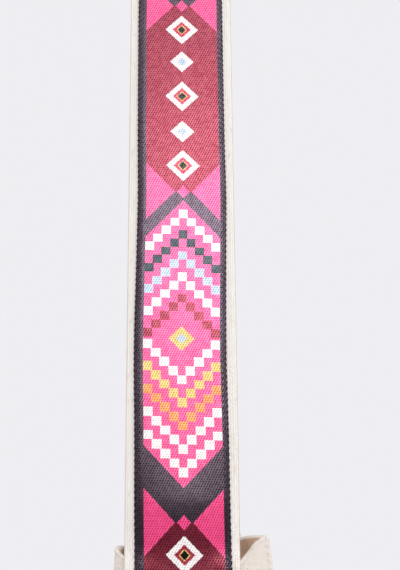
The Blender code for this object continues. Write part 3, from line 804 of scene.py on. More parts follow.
class Shade:
    """A material's nodes, made by node() and by expressions on the values it returns."""

    def __init__(self, name, roughness=0.9, **constants):
        self.material = bpy.data.materials.new(name)
        self.material.use_nodes = True
        self.tree = self.material.node_tree
        self.shader = self.tree.nodes["Principled BSDF"]
        self.shader.inputs["Roughness"].default_value = roughness
        for key, value in constants.items():
            self.shader.inputs[key.replace("_", " ")].default_value = value

    def node(self, kind, choices=None, inputs=None, output=0):
        """A node of a kind. Its own choices come first, then the values or links of its sockets."""
        made_node = self.tree.nodes.new("ShaderNode" + kind)
        for key, value in (choices or {}).items():
            if key == "stops":
                ramp = made_node.color_ramp
                ramp.interpolation = "CONSTANT"
                while len(ramp.elements) < len(value):
                    ramp.elements.new(1.0)
                for element, (place, shown) in zip(ramp.elements, value):
                    element.position, element.color = place, shown
            else:
                setattr(made_node, key, value)
        for key, value in (inputs or {}).items():
            if isinstance(value, Value):
                self.tree.links.new(value.socket, made_node.inputs[key])
            else:
                made_node.inputs[key].default_value = value
        return Value(self, made_node.outputs[output])

    def math(self, operation, *values):
        return self.node("Math", {"operation": operation}, dict(enumerate(values)))

    def cloth(self, name="cloth"):
        """The piece's own UV map in metres: along, across, and both as one vector."""
        point = self.node("UVMap", {"uv_map": name})
        along = self.node("SeparateXYZ", {}, {0: point})
        return along, Value(self, along.socket.node.outputs[1]), point

    def mix(self, factor, first, second):
        """Two colours mixed. At factor 1 it is the second one."""
        return self.node("Mix", {"data_type": "RGBA"}, {0: factor, 6: first, 7: second}, 2)

    def scaled(self, shown, amount):
        """A colour times a value."""
        shown = shown if isinstance(shown, Value) else tuple(shown)[:3]
        return self.node("VectorMath", {"operation": "SCALE"}, {0: shown, 3: amount})

    def times(self, first, second):
        """Two vectors or colours multiplied part by part."""
        return self.node("VectorMath", {"operation": "MULTIPLY"}, {0: first, 1: second})

    def spot(self, across, along):
        """A soft round spot, 1 in its middle and 0 from a distance of 1 on."""
        return (1 - across * across - along * along).most(0.0).math("POWER", 0.5)

    def noise(self, vector, scale, detail=2.0):
        return self.node("TexNoise", {}, {"Vector": vector, "Scale": scale, "Detail": detail})

    def own_point(self):
        return self.node("TexCoord", {}, {}, 3)

    def finished(self, shown, height, distance, strength, **more):
        """The material, once its colour, its bump and more of its shader's sockets are linked."""
        bump = self.node("Bump", {}, {"Height": height, "Distance": distance, "Strength": strength})
        for key, value in {"Base_Color": shown, "Normal": bump, **more}.items():
            self.tree.links.new(value.socket, self.shader.inputs[key.replace("_", " ")])
        return self.material


def canvas_material(name, shown, pitch=0.8 * MM, flecks=1.0, sewn=()):
    """Cotton canvas: a plain weave with slubs, small brown flecks and soft changes of tone. Along its sewn
    lines, given as 0 for the side seams or 1 for the rim and a distance, it puckers and is darkened there as
    painted shade."""
    shade = Shade(name, Sheen_Weight=0.12, Sheen_Roughness=0.6)
    first, second, point = shade.cloth()
    column, row = first / pitch, second / pitch
    odd = ((column.floor() + row.floor()) / 2).part() * 2
    warp = (column.part() * math.pi).math("SINE")
    weft = (row.part() * math.pi).math("SINE")
    weave = (odd * warp + (1 - odd) * weft).math("POWER", 0.7)
    cloud = shade.noise(point, 22.0, 4.0)
    slub_x = shade.noise(shade.times(point, (60.0, 1400.0, 1.0)), 1.0)
    slub_y = shade.noise(shade.times(point, (1400.0, 60.0, 1.0)), 1.0)
    speck = shade.noise(shade.times(point, (420.0, 900.0, 1.0)), 1.0, 1.0)
    tone = 0.92 + (cloud - 0.5) * 0.12 + (slub_x - 0.5) * 0.18 + (slub_y - 0.5) * 0.14 + weave * 0.06
    ground = shade.mix((cloud - 0.45).most(0.0) * 0.6, shade.scaled(shown, tone), srgb(216, 200, 180))
    flecked = shade.mix((speck > 0.70) * 0.5 * flecks, ground, srgb(138, 108, 74))
    height = weave + slub_x * 0.8 + slub_y * 0.6
    for edge, distance in sewn:
        off = abs(shade.cloth("edges")[edge] - distance) / (1.7 * MM)
        pull = 0.7 + 0.3 * ((first, second)[1 - edge] * (math.pi / (1.5 * MM))).math("SINE")
        pucker_and_shade = (1 - off).most(0.0).math("SMOOTH_MIN", 1.0, 0.2) * pull
        # Painted shade: along each sewn line the colour is darkened by up to 16 percent, as shade in the
        # puckered groove.
        flecked = shade.scaled(flecked, 1 - pucker_and_shade * 0.16)
        height = height - pucker_and_shade * 3.0
    return shade.finished(flecked, height, 0.20 * MM, 0.45, Roughness=0.95 - weave * 0.1)


def webbing_material(shown, half):
    """Cotton webbing: columns of small slanted loops, with a tan band along each edge that is painted shade
    of its rounded edge.
    """
    shade = Shade("webbing", Sheen_Weight=0.15, Sheen_Roughness=0.5)
    along, across, point = shade.cloth()
    column = across / (1.13 * MM)
    odd = (column.floor() / 2).part() * 2
    over = column.part() - 0.5
    row = along / (1.22 * MM) + odd * 0.5 + over * 0.55 * (1 - odd * 2)
    up = row.part() - 0.5
    loop = (1 - (over * over * 2.6 + up * up * 3.4)).most(0.0)
    cloud = shade.noise(point, 30.0, 3.0)
    fuzz = shade.noise(point, 1800.0, 2.0)
    tone = 0.87 + loop * 0.13 + (cloud - 0.5) * 0.07 + (fuzz - 0.5) * 0.10
    # Painted shade: the outer 0.8 mm of each edge is mixed towards tan, as the rounded edge turned from the
    # light.
    edge = ((abs(across) - (half - 0.8 * MM)) / (0.8 * MM)).most(0.0).least(1.0)
    ground = shade.mix(edge * 0.55, shown, srgb(226, 200, 184))
    stain = shade.noise(shade.times(point, (160.0, 420.0, 1.0)), 1.0, 3.0)
    ground = shade.mix(((stain - 0.58) * 3.0).most(0.0).least(0.6), ground, srgb(222, 200, 176))
    return shade.finished(shade.scaled(ground, tone), loop + fuzz * 0.25, 0.32 * MM, 0.75,
                          Roughness=0.92 - loop * 0.08)


def nested(shade, shown, across, along, pattern, rings):
    """Diamonds inside each other, each half so many columns wide and so many cells long."""
    for half_columns, half_cells, name in rings:
        inside = (across / half_columns + along / half_cells) < 1.0
        shown = shade.mix(inside, shown, getattr(pattern, name))
    return shown


def ribbon_pattern(shade, pattern, cells, across):
    """The pattern's colour at a number of cells along the ribbon and columns across it."""
    place = (cells + WEDGE).math("FLOORED_MODULO", REPEAT) - WEDGE
    v = abs(across)
    near = place.least(PANEL_END - place)
    crossing = abs(near)
    shown = shade.mix((near > 0.0) * (v < near + WAIST), pattern.charcoal, pattern.burgundy)
    shown = shade.mix(v > crossing + WAIST, shown, pattern.pink)
    shown = shade.mix((v + crossing) < KNOT, shown, pattern.pink)

    depth = (place - LOZENGE_TIP).least(LOZENGE_END - place)
    shown = shade.mix(v < depth, shown, pattern.pink)
    heart = (LOZENGE_TIP + LOZENGE_END) / 2
    for odd in (0, 1):
        column = ((v + (1 - odd)) / 2).floor() * 2 + odd
        up = depth - CHEVRON_START - column
        chevron = (up / CHEVRON_STEP).floor()
        on = (abs(v - column) < STEP_HALF) * (up > 0.0) * ((up - chevron * CHEVRON_STEP) < 1.0)
        on = on * (chevron < CHEVRONS) * (column < COLUMNS / 2)
        halves = []
        for steps in (UPPER_STEPS, LOWER_STEPS):
            stops = [(index / CHEVRONS, tuple(getattr(pattern, name))) for index, name in enumerate(steps)]
            halves.append(shade.node("ValToRGB", {"stops": stops}, {0: (chevron + 0.5) / CHEVRONS}))
        shown = shade.mix(on, shown, shade.mix(place > heart, *halves))
    shown = nested(shade, shown, v, abs(place - heart), pattern, HEART_RINGS)

    from_middle = abs(place - PANEL_END / 2)
    eye = from_middle.least(abs(from_middle - EYE_SPREAD))
    shown = nested(shade, shown, v, eye, pattern, EYE_RINGS)
    shown = nested(shade, shown, v, abs(from_middle - STUD_SPREAD), pattern, STUD_RINGS)
    return shade.mix(v > COLUMNS / 2, shown, pattern.charcoal)


def ribbon_material(pattern, strap, knot):
    """The ribbon: glossy threads in a steep twill. The threads are painted lighter as painted highlight and
    the gaps between them darker as painted shade, and its edges and stitch holes are painted dark as painted
    shade.
    """
    shade = Shade("ribbon", Coat_IOR=1.6, Coat_Roughness=0.29, Specular_IOR_Level=0.2)
    along, across, point = shade.cloth()
    column = pattern.share * strap.ribbon_width / COLUMNS
    square = along - across * math.tan(pattern.skew)

    row = square / pattern.pitch_along
    thread = across / pattern.pitch_across + row.floor() * WEAVE_STEP
    up = row.part() - 0.5
    over = thread.part() - 0.5 + up * 0.28
    gap = (1 - (over * over / 0.112 + up * up / 0.230)).most(0.0).math("POWER", 0.35)
    place = shade.node("CombineXYZ", {}, {0: row.floor(), 1: thread.floor()})
    chance = shade.node("TexWhiteNoise", {"noise_dimensions": "2D"}, {"Vector": place})

    third, width = pattern.pitch_along / 3, pattern.pitch_across / 4
    cells = ((square / third).floor() * third + third / 2 - knot) / pattern.cell
    columns = ((across / width).floor() * width + width / 2 - pattern.shift) / column
    shown = ribbon_pattern(shade, pattern, cells, columns)
    pale = shade.node("RGBToBW", {}, {0: shown})

    half = strap.ribbon_width / 2
    inside = half - abs(across)
    stitch = along / strap.stitch
    # Painted shade: a notch at each stitch near the edge, a hole in the row further in and a thin line along
    # the very edge are darkened below, standing in for the shade of the stitch holes and of the ribbon's
    # edge.
    notch = shade.spot((inside - 0.42 * MM) / (0.32 * MM), (stitch.part() - 0.5) / 0.30)
    hole = shade.spot((inside - 2.35 * MM) / (0.30 * MM), ((stitch + 0.5).part() - 0.5) / 0.22)
    stitch_hole_shade = (notch + hole).most((0.22 * MM - inside) / (0.22 * MM)).least(1.0)

    cloud = shade.noise(point, 60.0, 3.0)
    warp = shade.noise(shade.times(point, (40.0, 2600.0, 1.0)), 1.0, 1.0)
    # The threads' tone varies at random with cloud, warp streaks and each float's chance; the lift of 1.12
    # and the mix towards white by paleness are painted highlight.
    light = 1.12 + (cloud - 0.5) * 0.12 + (warp - 0.5) * 0.24 + (chance - 0.5) * 0.30
    lit = shade.scaled(shade.mix(pale * 0.25, shown, WHITE), light)
    # Painted shade: the gaps between the threads take a darker, deeper copy of the colour.
    gap_shade_colour = shade.times(shown, shade.mix(0.85, WHITE, shown))
    dark = shade.scaled(gap_shade_colour, (0.22 + pale * 1.8).least(0.85))
    woven = shade.mix(gap, lit, dark)
    plain = (1 - gap * 0.9) * (1 - stitch_hole_shade)
    return shade.finished(
        shade.scaled(woven, 1 - stitch_hole_shade * 0.85), 1 - gap + chance * 0.25 - stitch_hole_shade, 0.10 * MM, 0.35,
        Metallic=(0.95 - pale * 2.4).most(0.05) * plain, Coat_Weight=(0.35 + chance * 0.7) * plain,
        Roughness=0.29 + gap * 0.4 + stitch_hole_shade * 0.3)


def thread_material(name, shown, roughness=0.75, metallic=0.0):
    """Spun sewing thread."""
    shade = Shade(name, roughness, Sheen_Weight=0.1, Metallic=metallic)
    fibre = shade.noise(shade.own_point(), 4000.0)
    return shade.finished(shade.scaled(shown, 0.82 + fibre * 0.3), fibre, 0.05 * MM, 0.5)


def board_material(shown):
    """Pressed board with a fine leathery grain."""
    shade = Shade("board", 0.6)
    point = shade.own_point()
    grain = shade.noise(point, 900.0, 3.0)
    cloud = shade.noise(point, 18.0, 3.0)
    return shade.finished(shade.scaled(shown, 0.82 + grain * 0.2 + cloud * 0.16), grain, 0.1 * MM, 0.5,
                          Roughness=0.5 + grain * 0.3)


def snap_material(shown):
    """Plated steel with turning marks and a soft tarnish."""
    shade = Shade("snap", 0.32, Metallic=1.0)
    point = shade.own_point()
    marks = shade.noise(shade.times(point, (900.0, 900.0, 6000.0)), 1.0)
    cloud = shade.noise(point, 260.0, 3.0)
    return shade.finished(shade.scaled(shown, 0.86 + marks * 0.12 + (cloud - 0.5) * 0.2), marks, 0.02 * MM,
                          0.5, Roughness=0.22 + marks * 0.16 + cloud * 0.12)


def floor_material(shown, radius):
    """The pale floor, which fades out into what is behind it."""
    shade = Shade("floor", 0.85)
    shade.shader.inputs["Base Color"].default_value = shown
    distance = shade.node("VectorMath", {"operation": "LENGTH"}, {0: shade.own_point()}, 1)
    fade = shade.node("MapRange", {"interpolation_type": "SMOOTHSTEP"},
                      {0: distance, 1: radius * 0.45, 2: radius * 0.98})
    clear = shade.node("BsdfTransparent")
    mixed = shade.node("MixShader", {}, {0: fade, 2: clear})
    shade.tree.links.new(shade.shader.outputs[0], mixed.socket.node.inputs[1])
    shade.tree.links.new(mixed.socket, shade.tree.nodes["Material Output"].inputs[0])
    return shade.material


# Operators

kept = {}


def shared(name, make, *groups):
    """The walls' or the strap's geometry, made again only when a setting has changed."""
    values = []
    for group in groups:
        for key in type(settings(group)).__annotations__:
            value = getattr(settings(group), key)
            values.append(value if isinstance(value, float) else tuple(value))
    if kept.get(name, (None, None))[0] != values:
        kept[name] = (values, make())
    return kept[name][1]


def walls():
    return shared("walls", lambda: Walls(settings("body")), "body", "strap")


def strap():
    return shared("strap", lambda: Strap(walls()), "body", "strap")


def material(name, make, *values):
    """A material, made once."""
    return bpy.data.materials.get(name) or make(name, *values)


def canvas():
    return material("bag_canvas", canvas_material, settings("colours").canvas)


def cream_thread():
    return material("bag_thread", thread_material, settings("colours").thread)


def dark_thread():
    return material("bag_dark_thread", thread_material, settings("colours").dark_thread, 0.35, 0.85)


class BAG_OT_stage(bpy.types.Operator):
    """Builds the floor, the lamps, the sky and the camera."""

    bl_idname = "bag.stage"
    bl_label = "Stage"

    def execute(self, context):
        stage = settings("stage")
        bm = bmesh.new()
        bmesh.ops.create_circle(bm, cap_ends=True, segments=96, radius=stage.floor_radius)
        floor = keep("floor", mesh_of("floor", bm), floor_material(stage.backdrop, stage.floor_radius))
        self.light(stage)
        context.scene.world = self.sky(stage)
        context.scene.camera = self.camera(stage)
        context.scene.view_settings.view_transform = "Standard"
        return {"FINISHED"}

    def put(self, name, data, place, ahead):
        """A lamp or camera at a place, turned to look ahead."""
        obj = bpy.data.objects.new(name, data)
        obj.location = place
        obj.rotation_euler = ahead.to_track_quat("-Z", "Y").to_euler()
        bpy.context.scene.collection.objects.link(obj)
        return obj

    def lamp(self, name, place, aim, size, brightness):
        data = bpy.data.lights.new(name, "AREA")
        data.shape = "RECTANGLE"
        data.size, data.size_y = size
        data.energy = brightness * math.pi * size[0] * size[1]
        return self.put(name, data, place, Vector(aim) - Vector(place))

    def light(self, stage):
        """The two key lamps stand where the ribbon's gloss mirrors them into the camera. The low end
        lamps show in no gloss."""
        self.lamp("key", (1.205, 0.10, 1.692), (0.127, 0.0, 0.43), (0.56, 0.43), stage.key)
        self.lamp("low_key", (1.361, 0.18, 1.405), (0.163, 0.0, 0.345), (0.50, 0.22), stage.low_key)
        self.lamp("top", (0.25, 0.0, 2.3), (0.0, 0.0, 0.3), (1.4, 1.4), stage.top_fill)
        aim = (0, 0, 0.25)
        for x in (-1, 1):
            self.lamp(f"side_{x}", (0.35 * x, 1.45 * x, 1.55), aim, (1.2, 1.2), stage.side_fill)
            for y in (-1, 1):
                low = self.lamp(f"end_{x}_{y}", (1.55 * x, 0.85 * y, 0.22), aim, (1.2, 0.7), stage.end_fill)
                low.visible_glossy = False

    def sky(self, stage):
        """Dim light from all round, and the plain backdrop where the camera looks past the floor."""
        world = bpy.data.worlds.new("sky")
        world.use_nodes = True
        nodes = world.node_tree.nodes
        sky, shown = nodes["Background"], nodes.new("ShaderNodeBackground")
        sky.inputs["Color"].default_value = WHITE
        shown.inputs["Color"].default_value = stage.backdrop
        path, either, dimmed, mixed = (nodes.new("ShaderNode" + kind)
                                       for kind in ("LightPath", "Math", "Math", "MixShader"))
        dimmed.operation = "MULTIPLY_ADD"
        dimmed.inputs[1].default_value = stage.sky * (stage.glossy_sky - 1)
        dimmed.inputs[2].default_value = stage.sky
        either.operation = "ADD"
        either.use_clamp = True
        for output, goes_to in (
                (path.outputs["Is Glossy Ray"], dimmed.inputs[0]),
                (dimmed.outputs[0], sky.inputs["Strength"]),
                (path.outputs["Is Camera Ray"], either.inputs[0]),
                (path.outputs["Is Transmission Ray"], either.inputs[1]),
                (either.outputs[0], mixed.inputs[0]),
                (sky.outputs[0], mixed.inputs[1]),
                (shown.outputs[0], mixed.inputs[2]),
                (mixed.outputs[0], nodes["World Output"].inputs[0])):
            world.node_tree.links.new(output, goes_to)
        return world

    def camera(self, stage):
        data = bpy.data.cameras.new("camera")
        data.lens = stage.lens
        data.sensor_width = 36.0
        ahead = Vector((-math.cos(stage.yaw), math.sin(stage.yaw), 0.0))
        return self.put("camera", data, (stage.camera_x, stage.camera_y, stage.camera_z), ahead)


def flat_uv(points, wall):
    """A wall's own plane as UV: along it and up."""
    return points[:, (wall % 2, 2)]


class BAG_OT_walls(bpy.types.Operator):
    """Builds the four canvas walls, and the turned edge of the mouth."""

    bl_idname = "bag.walls"
    bl_label = "Walls"

    def execute(self, context):
        shell, body = walls(), settings("body")
        lines = ((1, body.hem_stitch), (0, body.seam_stitch))
        sewn_canvas = canvas_material("bag_sewn_canvas", settings("colours").canvas, sewn=lines)
        for wall, name in enumerate(WALLS):
            count = WALL_COLUMNS[wall % 2]

            def place(column, row, start=SEAMS[wall], count=count, wall=wall):
                groove = np.where((column < 0.5) | (column > count - 0.5), 1.2 * MM, 0.0)
                points = shell.at(start + column, row, groove)
                edges = (start, row), (start + count, row), (start + column, float(shell.top))
                first, last, rim = (np.linalg.norm(points - shell.at(*edge), axis=1) for edge in edges)
                return points, np.column_stack([flat_uv(points, wall), np.minimum(first, last), rim])

            piece = keep(name + "_cloth", grid_mesh(name, count, shell.top, place), sewn_canvas)
            thicken(piece, body.canvas, 0.0, 1)
            finish_piece(piece, "canvas", name, flat=WALL_CUTS[wall % 2],
                         on=["base_panel_laid", "strap_webbing_cloth"])
        self.mouth_edge(shell)
        return {"FINISHED"}

    def mouth_edge(self, shell):
        """The rim's rounded edge, on the mean of the walls' top over a few columns."""
        turn = np.linspace(0, 2 * math.pi, 11)
        across, up = 1.55 * MM * np.cos(turn) + 1.1 * MM, 1.5 * MM * np.sin(turn) - 0.7 * MM

        def place(column, row):
            index = column.astype(int)
            near = row[:, None] / 2 + np.linspace(-1.6, 1.6, 9)
            points, normals = (field.mean(axis=1) for field in shell.face(near, float(shell.top)))
            rise = unit(points - shell.face(near, shell.top - 0.5)[0].mean(axis=1))
            points = points - unit(normals) * across[index, None] + rise * up[index, None]
            return points, np.stack([row * 2 * MM, column * MM], axis=1)

        mesh = grid_mesh("mouth_edge", len(turn) - 1, 2 * AROUND, place, closed=True)
        finish_piece(keep("mouth_edge", mesh, canvas()), "canvas")


class BAG_OT_base(bpy.types.Operator):
    """Builds the base panel and the stiff board that lies on it."""

    bl_idname = "bag.base"
    bl_label = "Base"

    def execute(self, context):
        panel = rounded_plate("base_panel_laid", BASE_BOX, 4 * MM, 0.3 * MM, canvas())
        finish_piece(panel, "canvas", "base_panel", flat=(2 * BASE_BOX[1].y, 2 * BASE_BOX[1].x),
                     held="laid", on=["front_panel_cloth", "back_panel_cloth"])
        pressed = board_material(settings("colours").board)
        board = rounded_plate("base_board_laid", BOARD_BOX, 8 * MM, 0.6 * MM, pressed)
        finish_piece(board, "board", "base_board")
        return {"FINISHED"}


class BAG_OT_inside(bpy.types.Operator):
    """Builds the hem facings, seam tapes, pocket and anchor patches inside the bag."""

    bl_idname = "bag.inside"
    bl_label = "Inside"

    def execute(self, context):
        body, shell, colours = settings("body"), walls(), settings("colours")
        # The facings and anchor patches take the facing colour, which is painted shade of the bag's inside.
        facing = canvas_material("facing", colours.facing, 0.6 * MM)
        binding = canvas_material("binding", colours.binding, 0.5 * MM, 0.3)
        pocket = canvas_material("pocket", colours.pocket, 0.6 * MM)
        self.facings(body, shell, facing)
        self.tapes(body, shell, binding)
        self.pocket(shell, pocket, binding)
        self.anchor_patches(shell, facing)
        return {"FINISHED"}

    def patch(self, name, slot, made_of, wall, find, columns, rows, flat=None, over=0, layers=1):
        """A sheet on the walls' inner side, so many layers thick and over so many other sheets.
        find(share, up) gives its columns and rows on the walls."""
        body = settings("body")
        inset = body.canvas + body.gap + over * (body.lining + body.gap)
        thickness = layers * body.lining

        def place(column, row):
            points = walls().at(*find(column / columns, row / rows), inset)
            return points, flat_uv(points, wall)

        piece = keep(name + "_cloth", grid_mesh(name, columns, rows, place), made_of)
        thicken(piece, thickness, min(0.3 * MM, thickness / 3))
        finish_piece(piece, slot, name, flat=flat, on=[WALLS[wall] + "_cloth"])

    def facings(self, body, shell, made_of):
        for wall, side in enumerate(("front", "right", "back", "left")):
            def hem(share, up, wall=wall):
                column = shell.column(wall, share * 1.992 - 0.996)
                return column, shell.below_rim(column, body.facing * (1 - up) + 0.6 * MM * up)

            self.patch(side + "_facing", "facing", made_of, wall, hem, WALL_COLUMNS[wall % 2], 8,
                       flat=(FACING_CUTS[wall % 2], body.facing))

    def tapes(self, body, shell, made_of):
        for side, wall, corner in (("front_left", 0, -1), ("front_right", 0, 1),
                                   ("back_left", 2, 1), ("back_right", 2, -1)):
            def tape(share, up, wall=wall, corner=corner):
                height = body.fillet + up * (TAPE_TOP - body.fillet)
                reach = share if corner > 0 else 1 - share
                half = shell.half_length(height)
                column = shell.column(wall, corner * (1 - (1 - reach) * body.tape / half))
                return column, shell.row(height, column)

            self.patch(side + "_seam_binding", "binding", made_of, wall, tape, 4, 48, layers=2)

    def pocket(self, shell, made_of, binding):
        reach, top = POCKET_BOX[1].x, POCKET_BOX[1].z
        for name, low, cloth, slot, over, rows in (
                ("slip_pocket", POCKET_BOX[0].z, made_of, "pocket", 0, 26),
                ("pocket_hem", HEM_BOX[0].z, binding, "binding", 1, 6)):
            def panel(share, up, low=low):
                return shell.spot(2, (0.5 - share) * 2 * reach, low + (top - low) * up)

            self.patch(name, slot, cloth, 2, panel, 32, rows, flat=(2 * reach, top - low), over=over)

    def anchor_patches(self, shell, made_of):
        size = PATCH_BOX[1] - PATCH_BOX[0]
        for name, wall in (("left_anchor_patch", 3), ("right_anchor_patch", 1)):
            def pad(share, up, wall=wall):
                way = 1 if wall < 2 else -1
                return shell.spot(wall, way * (share - 0.5) * size.y, PATCH_BOX[0].z + size.z * up)

            self.patch(name, "facing", made_of, wall, pad, 12, 14, flat=(size.y, size.z))


class BAG_OT_snap(bpy.types.Operator):
    """Builds the two halves of the magnetic snap, at the mouth's middle."""

    bl_idname = "bag.snap"
    bl_label = "Snap"

    def execute(self, context):
        edge = settings("body").snap_radius / MM
        rim = [(edge - 0.5, 2.2), (edge - 0.075, 2.0), (edge, 1.7), (edge, 0.3), (edge - 0.3, 0), (0, 0)]
        ring = [(edge - 2.2, 1.9), (edge - 1.9, 1.9), (edge - 1.6, 2.2)]
        stud = [(0, 4.4), (3.3, 4.4), (3.8, 4.1), (4.0, 3.6), (4.0, 2.2)]
        socket = [(0, 1.0), (4.0, 1.0), (4.3, 1.2), (4.3, 1.9), (4.6, 2.2)]
        steel = snap_material(settings("colours").snap)
        for name, wall, middle in (("snap_stud", 0, stud), ("snap_socket", 2, socket)):
            piece = keep(name + "_turned", self.turned(name, middle + ring + rim, self.seat(wall)), steel)
            finish_piece(piece, "snap", name)
        return {"FINISHED"}

    def seat(self, wall):
        """Where a half of the snap sits on a wall's facing, turned to face out of it."""
        body, shell = settings("body"), walls()
        column = shell.column(wall, 0.0)
        point, normal = shell.face(column, shell.below_rim(column, body.snap_drop))
        place = point - normal * (body.canvas + body.lining + 2 * body.gap)
        return Matrix.Translation(place) @ Vector(-normal).to_track_quat("Z", "Y").to_matrix().to_4x4()

    def turned(self, name, profile, seat):
        """A turned piece, from a profile of radii and heights in millimetres."""
        bm = bmesh.new()
        corners = [bm.verts.new((radius * MM, 0, height * MM)) for radius, height in profile]
        edges = [bm.edges.new(pair) for pair in zip(corners, corners[1:])]
        bmesh.ops.spin(bm, geom=corners + edges, axis=(0, 0, 1), cent=(0, 0, 0), angle=2 * math.pi,
                       steps=40, use_merge=True)
        bmesh.ops.remove_doubles(bm, verts=bm.verts, dist=MM / 200)
        bmesh.ops.recalc_face_normals(bm, faces=bm.faces)
        bmesh.ops.transform(bm, matrix=seat, verts=bm.verts)
        return mesh_of(name, bm)


class BAG_OT_strap(bpy.types.Operator):
    """Builds the webbing of the strap."""

    bl_idname = "bag.strap"
    bl_label = "Webbing"

    def execute(self, context):
        sizes, line = settings("strap"), strap()
        half = sizes.thickness / 2
        y, lift = section_loop(sizes.width / 2, -half, half, 5, 24)
        stops = np.concatenate([-line.stops[::-1], line.stops[1:]])

        def place(column, row):
            index = (column % len(y)).astype(int)
            along = stops[row.astype(int)]
            bead = hump(np.abs(y[index]) - sizes.width / 2 + 1.6 * MM, 1.2 * MM) * 0.15 * MM
            points = line.at(along, y[index], lift[index] + bead * np.sign(lift[index]))
            return points, np.stack([along, y[index]], axis=1)

        mesh = grid_mesh("strap_webbing", len(y), len(stops) - 1, place, closed=True)
        cloth = webbing_material(settings("colours").webbing, sizes.width / 2)
        finish_piece(keep("strap_webbing_cloth", mesh, cloth), "webbing", "strap_webbing",
                     flat=(sizes.width, 2 * line.stops[-1]), on=["right_gusset_cloth", "left_gusset_cloth"])
        return {"FINISHED"}


class BAG_OT_ribbon(bpy.types.Operator):
    """Builds the patterned ribbon and the stitching along its edges."""

    bl_idname = "bag.ribbon"
    bl_label = "Ribbon"

    def execute(self, context):
        sizes, line, pattern = settings("strap"), strap(), settings("pattern")
        low = sizes.thickness / 2 + 0.02 * MM
        high = low + sizes.ribbon_thickness
        half = sizes.ribbon_width / 2
        y, lift = section_loop(half, low, high, 3, 30)
        reach = line.outer_end - sizes.ribbon_end
        rows = round(2 * reach / (sizes.stitch / 4))
        stops = np.linspace(-reach, reach, rows + 1)

        def place(column, row):
            """The stitches draw the edges down and in, once for each stitch."""
            index = (column % len(y)).astype(int)
            along = stops[row.astype(int)]
            wave = np.cos(2 * math.pi * along / sizes.stitch)
            drawn = hump(half - 0.75 * MM - np.abs(y[index]), 0.6 * MM) * (0.25 + 0.12 * wave) * MM
            crown = 0.2 * MM * (1 - (y[index] / half) ** 4)
            on_top = lift[index] > low + 0.3 * sizes.ribbon_thickness
            wide = y[index] * (1 - (np.abs(y[index]) > half - 0.6 * MM) * 0.007 * wave) + line.sway(along)
            points = line.at(along, wide, lift[index] + np.where(on_top, crown - drawn, 0.0))
            return points, np.stack([along, y[index]], axis=1)

        knot = line.distance_at(settings("body").height + pattern.above_rim)
        mesh = grid_mesh("strap_ribbon", len(y), rows, place, closed=True)
        piece = keep("strap_ribbon_cloth", mesh, ribbon_material(pattern, sizes, knot))
        finish_piece(piece, "ribbon", "strap_ribbon", flat=(2 * half, 2 * reach),
                     on=["strap_webbing_cloth"])

        along = np.arange(-reach + sizes.stitch, reach - sizes.stitch, sizes.stitch / 2)
        edges = [line.sewn(along, side * (half - 1.35 * MM) + line.sway(along), high + 0.02 * MM)
                 for side in (-1, 1)]
        finish_piece(stitches("ribbon_stitches", edges, sizes.stitch, 0.24 * MM, dark_thread()), "ribbon")
        return {"FINISHED"}


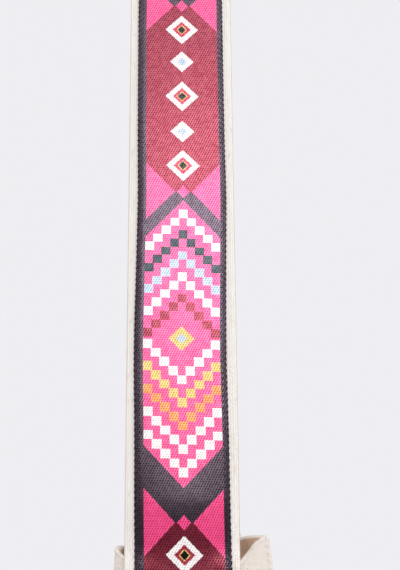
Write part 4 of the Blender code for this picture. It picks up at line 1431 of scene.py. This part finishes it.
class BAG_OT_stitching(bpy.types.Operator):
    """Builds the stitching of the hem, the seams, the pocket and the strap's anchors."""

    bl_idname = "bag.stitching"
    bl_label = "Stitching"

    def execute(self, context):
        body, shell = settings("body"), walls()
        outer, inner = -0.08 * MM, body.canvas + body.gap + body.lining + 0.05 * MM
        cream, dark = cream_thread(), dark_thread()
        for name, rows, radius, thread, slot in (
                ("hem_stitches", self.hems(body, shell, outer, inner), 0.28 * MM, cream, "canvas"),
                ("seam_stitches", self.seams(body, shell, outer), 0.28 * MM, cream, "canvas"),
                ("pocket_stitches", self.pocket(shell, outer, inner), 0.26 * MM, cream, "pocket"),
                ("anchor_stitches", self.anchors(strap()), 0.3 * MM, cream, "webbing"),
                ("anchor_cross", self.crosses(strap()), 0.26 * MM, dark, "ribbon")):
            finish_piece(stitches(name, rows, STITCH_PITCH, radius, thread), slot)
        return {"FINISHED"}

    def on_wall(self, column, row, inset):
        """A row of stitches on a wall, facing inwards where it is inset."""
        points, normals = walls().face(column, row)
        out = -normals if inset > 0 else normals
        return points - normals * inset, out

    def hems(self, body, shell, outer, inner):
        rows = []
        for wall in range(4):
            margin = 2.5 * MM / MOUTH_HALVES[wall % 2]
            column = shell.column(wall, np.linspace(-1, 1, 300) * (1 - margin))
            row = shell.below_rim(column, body.hem_stitch)
            rows += [self.on_wall(column, row, inset) for inset in (outer, inner)]
        return rows

    def seams(self, body, shell, outer):
        heights = np.linspace(body.fillet * 1.4, SEAM_TOP, 160)
        half = shell.half_length(heights)
        columns = [shell.column(wall, corner * (1 - body.seam_stitch / half))
                   for wall in (0, 2) for corner in (-1, 1)]
        return [self.on_wall(column, shell.row(heights, column), outer) for column in columns]

    def pocket(self, shell, outer, inner):
        reach = POCKET_BOX[1].x - 2.5 * MM
        low, high = POCKET_BOX[0].z + 2.5 * MM, POCKET_BOX[1].z - 2.0 * MM
        up, over = np.linspace(low, high, 80), np.linspace(-reach, reach, 120)
        return [self.on_wall(*shell.spot(2, across, height), inset) for inset in (outer, inner)
                for across, height in ((-reach, up), (over, low), (reach, up))]

    def anchors(self, line):
        """Three sides of the box that holds the webbing on each end wall."""
        wide, lift = line.sizes.width / 2 - 1.9 * MM, line.sizes.thickness / 2 + 0.1 * MM
        bottom = line.outer_end - ANCHOR_EDGE
        down = np.linspace(line.distance_at(line.rim - 8 * MM), bottom, 60)
        lines = ((down, np.full(60, -wide)), (down, np.full(60, wide)),
                 (np.full(40, bottom), np.linspace(-wide, wide, 40)))
        return [line.sewn(side * along, across, lift) for side in (-1, 1) for along, across in lines]

    def crosses(self, line):
        """A box with a cross in it, through the ribbon and the webbing's folded end."""
        wide = line.sizes.ribbon_width / 2 - 4 * MM
        lift = line.sizes.thickness / 2 + line.sizes.ribbon_thickness + 0.2 * MM
        foot = line.outer_end - ANCHOR_EDGE - 6 * MM
        head = foot - 2 * wide
        share = np.linspace(0, 1, 40)
        lines = [(start + (end - start) * share, (left + (right - left) * share) * wide)
                 for start, left, end, right in (
                     (head, -1, head, 1), (foot, -1, foot, 1), (head, -1, foot, -1),
                     (head, 1, foot, 1), (head, -1, foot, 1), (head, 1, foot, -1))]
        return [line.sewn(side * along, across, lift) for side in (-1, 1) for along, across in lines]


GROUPS = {"body": BodySizes, "strap": StrapSizes, "pattern": RibbonPattern, "colours": ClothColours,
          "stage": StageSizes}
STEPS = (BAG_OT_stage, BAG_OT_walls, BAG_OT_base, BAG_OT_inside, BAG_OT_snap, BAG_OT_strap, BAG_OT_ribbon,
         BAG_OT_stitching)


class BAG_PT_panel(bpy.types.Panel):
    """Lists the steps and their settings."""

    bl_idname = "BAG_PT_panel"
    bl_label = "Shoulder Bag"
    bl_space_type = "VIEW_3D"
    bl_region_type = "UI"
    bl_category = "Shoulder Bag"

    def draw(self, context):
        for step in STEPS:
            self.layout.operator(step.bl_idname)
        for name, group in GROUPS.items():
            box = self.layout.box()
            box.label(text=group.__doc__)
            for key in group.__annotations__:
                box.prop(settings(name), key)


def register():
    for name, group in GROUPS.items():
        bpy.utils.register_class(group)
        setattr(bpy.types.Scene, "bag_" + name, bpy.props.PointerProperty(type=group))
    for step in (*STEPS, BAG_PT_panel):
        bpy.utils.register_class(step)


def unregister():
    for step in (*STEPS, BAG_PT_panel):
        bpy.utils.unregister_class(step)
    for name, group in GROUPS.items():
        delattr(bpy.types.Scene, "bag_" + name)
        bpy.utils.unregister_class(group)


def main():
    register()
    for step in STEPS:
        area, name = step.bl_idname.split(".")
        getattr(getattr(bpy.ops, area), name)()


if __name__ == "__main__":
    main()
